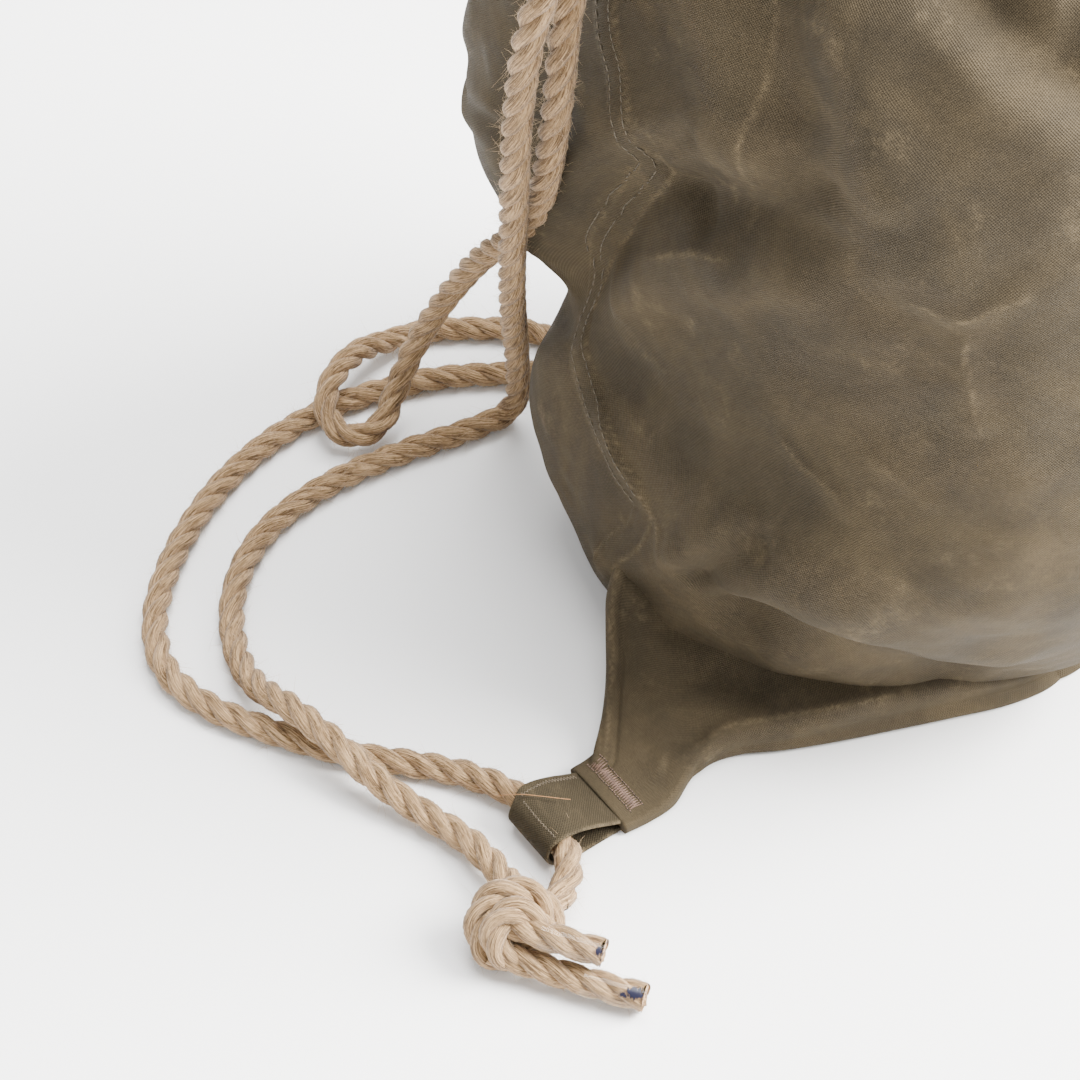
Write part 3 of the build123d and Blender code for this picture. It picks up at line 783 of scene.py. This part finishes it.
def cloth_object(name, points, worn, wide, material):
    """A closed cloth grid in mm as an object in metres, with the weave's UV map in metres."""
    points = np.concatenate((points, points[:, :1]), axis=1)
    worn = np.concatenate((worn, worn[:, :1]), axis=1)
    rows, columns = points.shape[:2]
    climb = np.linalg.norm(np.diff(points, axis=0), axis=2).mean(axis=1) * MM
    v = np.concatenate(([0.0], np.cumsum(climb)))
    u = np.linspace(0, wide, columns)
    uv = np.stack(np.broadcast_arrays(u[None, :], v[:, None]), axis=-1).reshape(-1, 2)
    mesh = mesh_of(
        name, points.reshape(-1, 3) * MM, grid_quads(rows, columns), uv, {"wear": worn.ravel()}
    )
    return link(name, mesh, material)


body_points, body_worn = body_surface()
sack = cloth_object("sack_cloth", body_points, body_worn, CLOTH_ROUND, canvas)

# ---- flattened bottom corners ---------------------------------------------------------

# One cross-section of the corner at a distance out: points (y, z) round it in mm, from the
# back foot forwards along the ground, up the front edge and back over the top.
EAR_SECTIONS = [
    (170.5, [(-36, 0.6), (-50, 0.5), (-63.5, 0.6), (-65.6, 2.6), (-64, 5.2), (-56, 6.2),
             (-46, 6.4), (-38, 6.2), (-34.0, 4.8), (-33.6, 2.4)]),
    (160, [(-36, 0.6), (-50, 0.5), (-64.5, 0.6), (-66.6, 2.8), (-65, 5.2), (-56, 6.0),
           (-46, 6.4), (-38, 6.8), (-33.2, 5.8), (-32.8, 2.8)]),
    (150, [(-32, 0.6), (-48, 0.5), (-64, 0.6), (-66.2, 3.6), (-64, 6.4), (-54, 7.2),
           (-42, 8.4), (-32, 10.4), (-26.6, 11.6), (-26, 6.0)]),
    (140, [(-23, 0.6), (-44, 0.5), (-59.5, 0.6), (-62.4, 4.4), (-60, 8.6), (-50, 10.4),
           (-36, 14.0), (-22, 19.6), (-15.2, 22.6), (-15.0, 11.0)]),
    (129, [(-6, 0.6), (-36, 0.5), (-57, 0.6), (-60.0, 5.4), (-58, 11.2), (-46, 13.6),
           (-28, 20.4), (-10, 29.6), (-0.4, 35.0), (0.4, 16.0)]),
    (118, [(10, 0.6), (-30, 0.5), (-59, 0.6), (-62.2, 6.4), (-60.4, 13.2), (-46, 17.0),
           (-24, 27.0), (-4, 40.0), (7.0, 49.0), (11, 22.0)]),
    (104, [(22, 0.6), (-26, 0.5), (-66, 0.6), (-69.4, 7.4), (-67.6, 15.2), (-50, 20.6),
           (-24, 33.0), (0, 48.0), (14, 58.0), (22, 28.0)]),
    (88, [(30, 0.6), (-24, 0.5), (-73, 0.6), (-76.4, 8.4), (-74.6, 17.0), (-56, 23.6),
          (-26, 37.0), (0, 52.0), (20, 62.0), (30, 30.0)]),
    (66, [(30, 0.6), (-24, 0.5), (-81.5, 0.6), (-84.6, 8.8), (-82.6, 18.0), (-62, 25.0),
          (-28, 38.0), (0, 48.0), (20, 54.0), (30, 26.0)]),
    (44, [(30, 0.6), (-24, 0.5), (-89.5, 0.6), (-92.2, 8.0), (-90.0, 16.4), (-68, 22.0),
          (-30, 30.0), (0, 36.0), (20, 38.0), (30, 18.0)]),
    (22, [(30, 0.6), (-24, 0.5), (-96.5, 0.6), (-98.8, 6.0), (-96.6, 12.4), (-74, 16.0),
          (-34, 20.0), (0, 22.0), (20, 22.0), (30, 10.0)]),
    (4, [(30, 0.6), (-24, 0.5), (-98.5, 0.6), (-100.6, 4.6), (-98.6, 9.0), (-74, 11.0),
         (-34, 12.0), (0, 12.0), (20, 12.0), (30, 6.0)]),
    (-12, [(30, 0.6), (-24, 0.5), (-94.5, 0.6), (-95.6, 2.6), (-94.6, 5.0), (-74, 6.0),
           (-34, 6.0), (0, 6.0), (20, 6.0), (30, 3.0)]),
]
EAR_AROUND = 230
EAR_ROWS = 190


def closed_curve(points, places):
    """A closed smooth curve through points, at places counted in points."""
    points = np.array(points, dtype=float)
    padded = np.concatenate((points[-2:], points, points[:3]))
    knots = np.arange(len(padded), dtype=float)
    return catmull(padded, knots, 2 + places)


def ear_rings():
    """The corner's cross-sections, all resampled alike so that their edges line up."""
    rings = np.array([ring for _, ring in EAR_SECTIONS], dtype=float)
    steps = np.linalg.norm(np.roll(rings, -1, axis=1) - rings, axis=2)
    share = (steps / steps.sum(axis=1, keepdims=True)).mean(axis=0)
    ends = np.concatenate(([0.0], np.cumsum(share)))
    places = np.interp(np.arange(EAR_AROUND) / EAR_AROUND, ends, np.arange(len(ends)))
    return np.array([closed_curve(ring, places) for ring in rings])


EAR_FOLDS = [
    (-0.9, 3.0, 0.7, [(-152, -58, 7), (-138, -56, 10), (-120, -57, 14), (-104, -65, 16),
                      (-80, -77, 18), (-50, -87, 17)]),
    (1.8, 4.0, 0.2, [(-150, -44, 8), (-136, -48, 11), (-126, -57, 12)]),
    (1.4, 5.0, 0.3, [(-146, -52, 8), (-138, -60, 8), (-132, -62, 4)]),
    (1.6, 7.0, 0.4, [(-128, -30, 20), (-112, -44, 22), (-100, -58, 20)]),
    (-1.2, 4.0, 0.7, [(-108, -10, 42), (-104, -28, 31), (-102, -42, 26)]),
    (1.3, 6.0, 0.3, [(-122, -14, 32), (-112, -26, 29), (-98, -34, 33)]),
]


def ear_surface(side):
    """A flattened bottom corner: side is -1 for the left one and 1 for the right one."""
    out_x = np.array([section[0] for section in EAR_SECTIONS], dtype=float)
    rings = ear_rings()
    knots = out_x[0] - out_x
    at = np.linspace(0, knots[-1], EAR_ROWS)
    flat_rings = catmull(rings.reshape(len(rings), -1), knots, at)
    rows = flat_rings.reshape(EAR_ROWS, EAR_AROUND, 2)
    x = np.broadcast_to(-(out_x[0] - at)[:, None], rows.shape[:2])
    points = np.stack((x, rows[..., 0], rows[..., 1]), axis=-1)
    middle = points.mean(axis=1, keepdims=True)
    normal = grid_normals(points, middle)
    flat, out = points.reshape(-1, 3), normal.reshape(-1, 3)
    push = 0.5 * waves(flat, 34, 12) + 0.28 * waves(flat, 13, 14)
    push *= eased(flat[:, 2], 6.0, 16.0)
    worn = np.zeros(len(flat))
    ridge = np.array([max(ring, key=lambda p: p[1]) for _, ring in EAR_SECTIONS], dtype=float)
    ridge_line = fine_line([(-a, y, z) for a, (y, z) in zip(out_x, ridge)][1:8], 2.0)
    gap_mm, _ = distance_to(flat, ridge_line)
    groove = np.exp(-(((gap_mm - 4.2) / 0.8) ** 2))
    push += 1.0 * eased(gap_mm, 5.2, 3.6) - 1.0 * groove
    worn = np.maximum(worn, 0.7 * np.exp(-(((gap_mm - 1.4) / 0.9) ** 2)))
    for depth, width, pale, line in EAR_FOLDS:
        gap_mm, along = distance_to(flat, fine_line(line, 2.0))
        fade = eased(along, 0.0, 0.2) * eased(1 - along, 0.0, 0.2)
        push -= fade * depth * np.exp(-((gap_mm / width) ** 2))
        worn = np.maximum(worn, pale * fade * np.exp(-((gap_mm / 1.0) ** 2)))
    moved = flat + out * push[:, None]
    moved[:, 2] = np.maximum(moved[:, 2], CLOTH_LOWEST)
    moved = moved.reshape(points.shape)
    cap = moved[:1].mean(axis=1, keepdims=True)
    inner = [cap + (moved[:1] - cap) * scale for scale in (0.02, 0.4, 0.75, 0.93)]
    moved = np.concatenate(inner + [moved], axis=0)
    worn = worn.reshape(points.shape[:2])
    worn = np.concatenate([worn[:1] * 0] * 3 + [worn[:1] + 0.4] + [worn], axis=0)
    moved[..., 0] *= -side
    return moved, worn


ears = []
for side, name in ((-1, "left_corner_cloth"), (1, "right_corner_cloth")):
    ear_points, ear_worn = ear_surface(side)
    ears.append(cloth_object(name, ear_points, ear_worn, 0.21, canvas))

# ---- corner loops ---------------------------------------------------------------------

STRAP_PROFILE = [(-157, 2.6), (-164, 3.0), (-169, 4.0), (-175, 7.2), (-183, 12.0),
                 (-190, 14.9), (-195.6, 15.5), (-200.0, 12.9), (-201.3, 8.4),
                 (-199.4, 3.8), (-195, 1.5), (-186, 1.1), (-176, 1.1), (-160, 1.2)]
STRAP_BACK, STRAP_FRONT = -36.2, -63.0
STRAP_THICK = 1.5
STRAP_WIDE = 27


def strap_loop(name, side):
    """The folded strap at a corner: one ribbon out, round the end and back."""
    line = fine_line([(x, 0, z) for x, z in STRAP_PROFILE], 0.9)
    heading = unit(np.gradient(line, axis=0))
    outward = np.stack((-heading[:, 2], np.zeros(len(line)), heading[:, 0]), axis=1)
    outward *= np.where(outward[0, 2] < 0, -1, 1)
    at_end = np.exp(-(((line[:, 0] + 201) / 4.5) ** 2))
    back = STRAP_BACK - 3.2 * at_end
    front = STRAP_FRONT + 0.9 * at_end
    across = 46
    t = np.linspace(0, 1, across)
    y = back[:, None] + (front - back)[:, None] * t
    swell = 0.35 * waves(np.stack((line[:, 0], line[:, 2], line[:, 1]), axis=1), 16, 21)
    sag = -0.5 * np.sin(np.pi * t)[None] * eased(line[:, 2], 5, 12)[:, None]
    edge = np.minimum(t, 1 - t) * STRAP_WIDE
    half = (STRAP_THICK / 2) * np.sqrt(np.clip(1 - (1 - np.clip(edge / 0.8, 0, 1)) ** 2, 0.02, 1))
    groove = -0.22 * np.exp(-(((t * STRAP_WIDE - 2.6) / 0.5) ** 2))
    middle = np.stack((np.broadcast_to(line[:, :1], y.shape), y,
                       np.broadcast_to(line[:, 2:], y.shape)), axis=-1)
    lift = outward[:, None] * (sag + swell[:, None] * 0.4)[..., None]
    upper = middle + lift + outward[:, None] * (half + groove)[None, :, None]
    lower = middle + lift - outward[:, None] * half[None, :, None]
    points = np.concatenate((upper, lower[:, ::-1]), axis=1)
    points[..., 2] = np.maximum(points[..., 2], 0.25)
    points[..., 0] *= -side
    worn = np.concatenate(
        (np.exp(-((edge / 0.9) ** 2)), np.exp(-((edge / 0.9) ** 2))[::-1])
    )
    worn = np.broadcast_to(worn[None] * 0.8, points.shape[:2])
    return cloth_object(name, points, worn, 0.056, strap_canvas), upper


def surface_tree(points, wrap=True):
    rows, columns = points.shape[:2]
    quads = grid_quads(rows, columns, wrap=wrap)
    flat = [tuple(point) for point in points.reshape(-1, 3)]
    return BVHTree.FromPolygons(flat, [tuple(quad) for quad in quads.tolist()])


def threads(name, pairs, radius, material, arch=0.25):
    """Separate stitches in mm: each runs from one point to another, arched outwards."""
    stations, sides = 5, 5
    t = np.linspace(0, 1, stations)
    turn = np.arange(sides) * 2 * np.pi / sides
    blocks = []
    for start, end, out in pairs:
        start, end, out = (np.array(v, dtype=float) for v in (start, end, out))
        spine = start + (end - start) * t[:, None]
        spine = spine + out * (arch * np.sin(np.pi * t) - 0.12)[:, None]
        beside = unit(np.cross(end - start, out)[None])[0]
        over = unit(np.cross(beside, end - start)[None])[0]
        thick = radius * (0.55 + 0.45 * np.sin(np.pi * t))
        ring = np.cos(turn)[None, :, None] * beside + np.sin(turn)[None, :, None] * over
        blocks.append((spine[:, None] + thick[:, None, None] * ring).reshape(-1, 3))
    one = grid_quads(stations, sides, wrap=True)
    quads = np.concatenate([one + index * stations * sides for index in range(len(blocks))])
    return link(name, mesh_of(name, np.concatenate(blocks) * MM, quads), material)


def stitches_along(tree, line, length, gap, away=None, shift=0.0):
    """Start, end and outward direction of stitches following a line on a surface."""
    line = np.array(line)
    runs = np.linalg.norm(np.diff(line, axis=0), axis=1)
    at = np.concatenate(([0.0], np.cumsum(runs)))
    pairs = []
    for begin in np.arange(0, at[-1] - length, length + gap):
        ends = []
        for place in (begin, begin + length):
            point = np.array([np.interp(place, at, line[:, k]) for k in range(3)])
            ahead = np.array(
                [np.interp(min(place + 2, at[-1]), at, line[:, k]) for k in range(3)]
            )
            if np.linalg.norm(ahead - point) < 1e-6:
                ahead = point + (line[-1] - line[-2])
            found, out, _, _ = tree.find_nearest(Vector(point))
            out = np.array(out)
            if away is not None and out @ (point - np.array(away)) < 0:
                out = -out
            sideways = unit(np.cross(ahead - point, out)[None])[0]
            shifted = np.array(found) + sideways * shift
            found, _, _, _ = tree.find_nearest(Vector(shifted))
            ends.append((np.array(found), out))
        pairs.append((ends[0][0] + ends[0][1] * 0.1, ends[1][0] + ends[1][1] * 0.1, ends[0][1]))
    return pairs


def thread_material(name, colour):
    s = Shader(name, Roughness=0.55)
    place = s.add("ShaderNodeTexCoord").outputs["Object"]
    tone = s.level(s.noise(place, 900, 2), 0.3, 0.7)
    dark = tuple(0.45 * c for c in colour)
    s.join(s.mix(tone, dark, colour), s.shader.inputs["Base Color"])
    s.join(s.bump(s.noise(place, 2600, 2), 0.08 * MM, 0.6), s.shader.inputs["Normal"])
    return s.material


bartack_thread = thread_material("bartack_thread", (0.185, 0.105, 0.072))
olive_thread = thread_material("olive_thread", (0.115, 0.09, 0.055))
pale_thread = thread_material("pale_thread", (0.20, 0.155, 0.105))
# Near-black colour for the painted shade inside the needle holes.
painted_hole_shade = Shader("needle_hole_painted_shade", Roughness=0.9)
painted_hole_shade.shader.inputs["Base Color"].default_value = (0.012, 0.01, 0.008, 1)

UPWARD = np.array((0, 0, 1.0))
TACK_ROWS = (-164.8, -160.6)  # x of the bar tack's two edges, and below of its needle holes
# HOLE_ROWS: x of the two rows of needle holes, each drawn as a blob of painted shade.
HOLE_ROWS = (-165.4, -160.0)


def on_corner(tree, side, x, y):
    """The top of a corner's cloth over a place given as on the left corner."""
    hit = tree.ray_cast(Vector((-side * x, y, 60)), Vector((0, 0, -1)))
    return np.array(hit[0]) if hit[0] is not None else np.array((-side * x, y, 5.0))


straps, sewing = [], []
for side, name in ((-1, "left"), (1, "right")):
    strap, strap_top = strap_loop(name + "_loop_strap", side)
    straps.append(strap)
    ear_points, _ = ear_surface(side)
    ear_tree = surface_tree(ear_points)
    tack, holes = [], []
    for index, y in enumerate(np.arange(-61.0, -37.5, 0.5)):
        lean = rng.normal(0, 0.22, 2)
        near, far = TACK_ROWS if index % 2 else TACK_ROWS[::-1]
        start = on_corner(ear_tree, side, near + lean[0], y) + UPWARD * 0.12
        end = on_corner(ear_tree, side, far + lean[1], y + 0.5) + UPWARD * 0.12
        tack.append((start, end, UPWARD))
    # Needle holes in two rows: each is a near-black blob sunk into the cloth as painted shade for
    # the hole, with a short bar-tack stitch beside it.
    for y in np.arange(-61.4, -37.2, 1.15):
        for x in HOLE_ROWS:
            here = (x + rng.normal(0, 0.1), y + rng.normal(0, 0.12))
            spot = on_corner(ear_tree, side, *here)
            sunk = spot - UPWARD * 0.1
            holes.append((sunk + (0.32, 0, 0), sunk - (0.32, 0, 0), UPWARD))
            tack.append((spot + (0, 0.15, 0.12), spot + (0, 0.95, 0.12), UPWARD))
    sewing.append((threads(name + "_bartack_thread", tack, 0.22, bartack_thread), "thread"))
    sewing.append((threads(name + "_needle_hole_painted_shades", holes, 0.3, painted_hole_shade.material, 0.1), "thread"))
    # zigzag topstitch along the strap's back edge and across it just inside the fold
    strap_tree = surface_tree(strap_top * np.array((-side, 1, 1)), wrap=False)
    zig = []
    edge_line = fine_line([(-side * -171, -38.6, 9), (-side * -183, -38.7, 14),
                           (-side * -196, -39.6, 17)], 1.5)
    fold_line = fine_line([(-side * -197.2, -42, 16), (-side * -197.6, -50, 16),
                           (-side * -197.4, -60, 16)], 1.5)
    for path in (edge_line, fold_line):
        for index, place in enumerate(np.linspace(0, len(path) - 1.01, 2 * len(path) - 2)):
            low = int(place)
            here = path[low] + (path[low + 1] - path[low]) * (place - low)
            there = here + (path[low + 1] - path[low]) * 0.45
            aside = unit(np.cross(path[1] - path[0], UPWARD)[None])[0]
            sway = aside * (0.42 if index % 2 else -0.42)
            start = np.array(strap_tree.find_nearest(Vector(here + sway))[0]) + UPWARD * 0.08
            end = np.array(strap_tree.find_nearest(Vector(there - sway))[0]) + UPWARD * 0.08
            zig.append((start, end, UPWARD))
    sewing.append((threads(name + "_strap_topstitch", zig, 0.13, pale_thread, 0.12), "thread"))

body_tree = surface_tree(body_points)
middle_axis = (0.0, 4.0, 150.0)
seam_pairs = []
for line, last in ((SIDE_SEAM, 16), (FAR_SEAM, 9)):
    path = fine_line(line[1:last], 2.0)
    for shift in (-3.0, 3.0):
        seam_pairs += stitches_along(body_tree, path, 2.6, 0.7, middle_axis, shift)
sewing.append((threads("side_seam_stitches", seam_pairs, 0.26, olive_thread, 0.18), "thread"))
HEM_STITCH_Z = 376.5
HEM_STITCH_RADIUS = 50
hem_pairs = []
for arc in ((-140, -18), (18, 140)):
    half = np.radians(np.linspace(*arc, 90))
    x, y = HEM_STITCH_RADIUS * np.cos(half), 4 + HEM_STITCH_RADIUS * np.sin(half)
    ring = np.stack((x, y, np.full(90, HEM_STITCH_Z)), axis=1)
    hem_pairs += stitches_along(body_tree, ring, 3.0, 0.8, (0.0, 4.0, HEM_STITCH_Z))
sewing.append((threads("hem_stitches", hem_pairs, 0.32, olive_thread, 0.2), "thread"))

# ---- knot, tails and tapes --------------------------------------------------------------

KNOT_CENTRE = np.array((-227.0, -79.0, 12.4))
KNOT_ACROSS = np.array((0.809, -0.588, 0.0))
KNOT_UP = np.array((0.430, 0.592, 0.682))
KNOT_OUT = np.array((-0.401, -0.552, 0.731))
# Turns of the knot in its own directions: across, up and out, mm.
OUTER_TURN = [(9, -6, -7), (3, -10, -5), (-5, -13, -1), (-11, -8, 0.5), (-12.6, 0, 1),
              (-10, 7.5, 1), (-3.5, 11.6, 1.5), (4, 11, 1.5), (10, 6.5, 0.5), (12.4, -1, -2),
              (11, -8, -7), (5, -10, -10)]
INNER_TURN = [(6, -6, -2), (1.5, -10.5, 2), (-4.5, -9.5, 6), (-7.4, -3.6, 7.6),
              (-5.6, 3, 8), (0, 6.2, 8), (6, 4, 6.4), (9, -1.5, 2.5), (8.4, -7, -4),
              (4, -8, -8)]


KNOT_LOWEST = 5.3


def knot_turn(name, turn_points, start_turn):
    places = np.array([
        KNOT_CENTRE + a * KNOT_ACROSS + b * KNOT_UP + c * KNOT_OUT for a, b, c in turn_points
    ])
    places[:, 2] = np.maximum(places[:, 2], KNOT_LOWEST)
    return rope(name, smooth_line(places * MM), start_turn=start_turn, fuzz=5200)


outer_turn, outer_fluff = knot_turn("knot_outer_turn", OUTER_TURN, 0.3)
inner_turn, inner_fluff = knot_turn("knot_inner_turn", INNER_TURN, 1.2)
IN_FROM_LEFT = [(-218, -61, 9.6), (-219.4, -67, 10.8), (-223, -75, 11), (-229, -81, 9.5)]
IN_FROM_RIGHT = [(-205, -76.5, 10.2), (-211.5, -79.8, 11.0), (-219, -82, 11.4),
                 (-228, -80, 10.4)]
fillers = []
for name, route, start_turn in (
    ("knot_left_in", IN_FROM_LEFT, 0.9), ("knot_right_in", IN_FROM_RIGHT, 2.0)
):
    fillers += rope(name, smooth_line(metres(route)), start_turn=start_turn, fuzz=2000)
TAPE_LONG = 21 * MM
TAPE_RADIUS = 5.35 * MM
INK_RADIUS = 5.5 * MM
CUT_RADIUS = 4.95 * MM


def film_material():
    s = Shader("clear_film", Roughness=0.04, IOR=1.03)
    s.shader.inputs["Base Color"].default_value = (0.97, 0.97, 0.96, 1)
    s.shader.inputs["Transmission Weight"].default_value = 1.0
    s.shader.inputs["Alpha"].default_value = 0.5
    s.shader.inputs["Coat Weight"].default_value = 0.8
    s.shader.inputs["Coat Roughness"].default_value = 0.05
    place = s.add("ShaderNodeTexCoord").outputs["Object"]
    s.join(s.bump(s.noise(place, 260, 2, 0.5, 0.8), 0.5 * MM, 0.35), s.shader.inputs["Normal"])
    return s.material


def cut_end_material():
    s = Shader("cut_end", Roughness=0.9)
    place = s.add("ShaderNodeTexCoord").outputs["Object"]
    cells = s.noise(place, 1400, 3, 0.7)
    colour = s.ramp(cells, (0.3, (0.10, 0.055, 0.03)), (0.5, (0.36, 0.22, 0.12)),
                    (0.72, (0.62, 0.45, 0.28)))
    ink = s.level(s.noise(s.scaled(place, (1, 1, 1), (0.013, 0.02, 0.007)), 330, 2), 0.56, 0.6)
    colour = s.mix(ink, colour, (0.002, 0.002, 0.03))
    s.join(colour, s.shader.inputs["Base Color"])
    s.join(s.bump(cells, 0.6 * MM, 0.9), s.shader.inputs["Normal"])
    return s.material


film = film_material()
cut_end = cut_end_material()
ink = Shader("blue_ink", Roughness=0.35)
ink.shader.inputs["Base Color"].default_value = (0.001, 0.001, 0.016, 1)


def patch_on_tube(name, centre_line, radius, along_range, turn_range, material, seed):
    """A ragged thin patch lying on a tube round a line, such as a smudge of ink."""
    source = np.random.default_rng(seed)
    _, normals, sideways = carried_frames(centre_line)
    rows, columns = 14, 14
    near_up = np.arctan2(sideways[0, 2], normals[0, 2])
    t = np.linspace(0, 1, rows)
    u = np.linspace(-1, 1, columns)
    ragged = 1 - 0.75 * source.random(rows)
    spots = []
    for i, along in enumerate(along_range[0] + t * (along_range[1] - along_range[0])):
        place = along * (len(centre_line) - 1)
        low = min(int(place), len(centre_line) - 2)
        centre = centre_line[low] + (centre_line[low + 1] - centre_line[low]) * (place - low)
        middle = near_up + sum(turn_range) / 2 + source.normal(0, 0.07)
        rounded = math.sin(math.pi * (0.06 + 0.88 * t[i]))
        half = (turn_range[1] - turn_range[0]) / 2 * ragged[i] * rounded
        for value in u:
            angle = middle + value * half
            spots.append(centre + radius * (
                math.cos(angle) * normals[low] + math.sin(angle) * sideways[low]))
    return link(name, mesh_of(name, np.array(spots), grid_quads(rows, columns)), material)


def tail(name, route, start_turn):
    """A rope tail with clear tape round its last stretch and a frayed flat cut end."""
    line = smooth_line(metres(route))
    strands, fluff = rope(name, line, start_turn=start_turn, fuzz=2600)
    even, places = even_line(line, 0.5 * MM)
    taped = even[places > places[-1] - TAPE_LONG]
    start_phase = rng.normal(0, 1, 3)[0]
    radius = TAPE_RADIUS + 0.10 * MM * np.sin(np.linspace(0, 9, len(taped)) + start_phase)
    wrap = tube(name + "_tape", taped, radius, 40, film)
    tangents, normals, sideways = carried_frames(taped)
    rings, columns = 8, 36
    turn = np.linspace(0, 2 * np.pi, columns, endpoint=False)
    discs = []
    for index in range(rings):
        reach = CUT_RADIUS * (index + 0.05) / (rings - 1)
        ragged = rng.normal(0, 0.16 * MM, columns)
        discs.append(
            taped[-1] + tangents[-1] * (0.25 * MM + ragged)[:, None] * (index < rings - 1)
            + reach * (np.cos(turn)[:, None] * normals[-1] + np.sin(turn)[:, None] * sideways[-1])
        )
    face = link(
        name + "_cut_end",
        mesh_of(name + "_cut_end", np.concatenate(discs), grid_quads(rings, columns, wrap=True)),
        cut_end,
    )
    return strands, fluff, wrap, face, taped


upper = tail("upper_tail_rope", UPPER_TAIL, 0.4)
lower = tail("lower_tail_rope", LOWER_TAIL, 2.0)
ink_patches = [
    patch_on_tube(name, taped, INK_RADIUS, along_range, turn_range, ink.material, seed)
    for name, taped, along_range, turn_range, seed in (
        ("ink_lower_top", lower[4], (0.72, 0.99), (-0.1, 0.9), 3),
        ("ink_lower_side", lower[4], (0.6, 0.78), (0.5, 0.95), 4),
        ("ink_upper", upper[4], (0.88, 0.99), (0.2, 0.9), 5),
    )
]
straw_shader = Shader("straw", Roughness=0.6)
straw_shader.shader.inputs["Base Color"].default_value = (0.30, 0.15, 0.055, 1)
straw = tube(
    "loose_straw",
    even_line(smooth_line(metres([(-203, -33, 13.5), (-198, -39, 17.6), (-191, -46, 17.8),
                                  (-184, -51.5, 16.6)])), 0.6 * MM)[0],
    0.16 * MM, 5, straw_shader.material,
)

# ---- floor and lights ---------------------------------------------------------------

floor_shader = Shader("floor", Roughness=0.75)
floor_shader.shader.inputs["Base Color"].default_value = (0.93, 0.93, 0.93, 1)
floor_mesh = mesh_of(
    "floor",
    np.array(((-4.0, -4, 0), (4, -4, 0), (4, 4, 0), (-4, 4, 0))),
    np.array(((0, 1, 2, 3),)),
)
floor = link("floor", floor_mesh, floor_shader.material, smooth=False)


def area_light(name, place, target, size, power, colour=(1, 1, 1)):
    data = bpy.data.lights.new(name, "AREA")
    data.shape = "DISK"
    data.size = size
    data.energy = power
    data.color = colour
    obj = bpy.data.objects.new(name, data)
    obj.location = place
    obj.rotation_euler = (Vector(target) - Vector(place)).to_track_quat("-Z", "Y").to_euler()
    bpy.context.scene.collection.objects.link(obj)


area_light("key", (1.35, -1.0, 1.45), (-0.05, 0.0, 0.1), 1.6, 360, (1.0, 0.985, 0.955))
area_light("fill", (-1.6, -0.9, 1.7), (-0.1, 0.0, 0.1), 2.0, 8)
area_light("top", (0.6, 0.1, 2.5), (0.0, 0.0, 0.0), 2.4, 200)
world = bpy.data.worlds.new("world")
bpy.context.scene.world = world
world.use_nodes = True
world.node_tree.nodes["Background"].inputs[0].default_value = (1, 1, 1, 1)
world.node_tree.nodes["Background"].inputs[1].default_value = 0.85

# ---- what each piece rides on, and the cords ------------------------------------------

jute_pieces = [
    left_rope, left_fluff, right_rope, right_fluff, neck_rope, neck_fluff, outer_turn,
    outer_fluff, inner_turn, inner_fluff, straw, *fillers, *upper[:2], upper[3],
    *lower[:2], lower[3],
]
tape_pieces = [upper[2], lower[2], *ink_patches]
for pieces, slot in (
    (jute_pieces, "jute"), (tape_pieces, "clear_tape"), ((sack, *ears), "canvas"),
    (straps, "canvas_strap"), ([piece for piece, _ in sewing], "thread"),
):
    for piece in pieces:
        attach(piece, "root")
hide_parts("rope_left_run")
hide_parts("rope_right_run")
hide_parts("neck_rope")
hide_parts("rope_knot")
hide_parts("upper_tail")
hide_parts("lower_tail")
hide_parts("upper_tape")
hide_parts("lower_tape")
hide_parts("corner_loop_left")
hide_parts("corner_loop_right")
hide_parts("left_bartack")
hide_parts("right_bartack")
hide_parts("channel_thread_front", "channel_thread_back")
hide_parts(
    "front_panel", "back_panel", "left_side_seam", "right_side_seam", "bottom_seam",
    "neck_channel_front", "neck_channel_back",
)
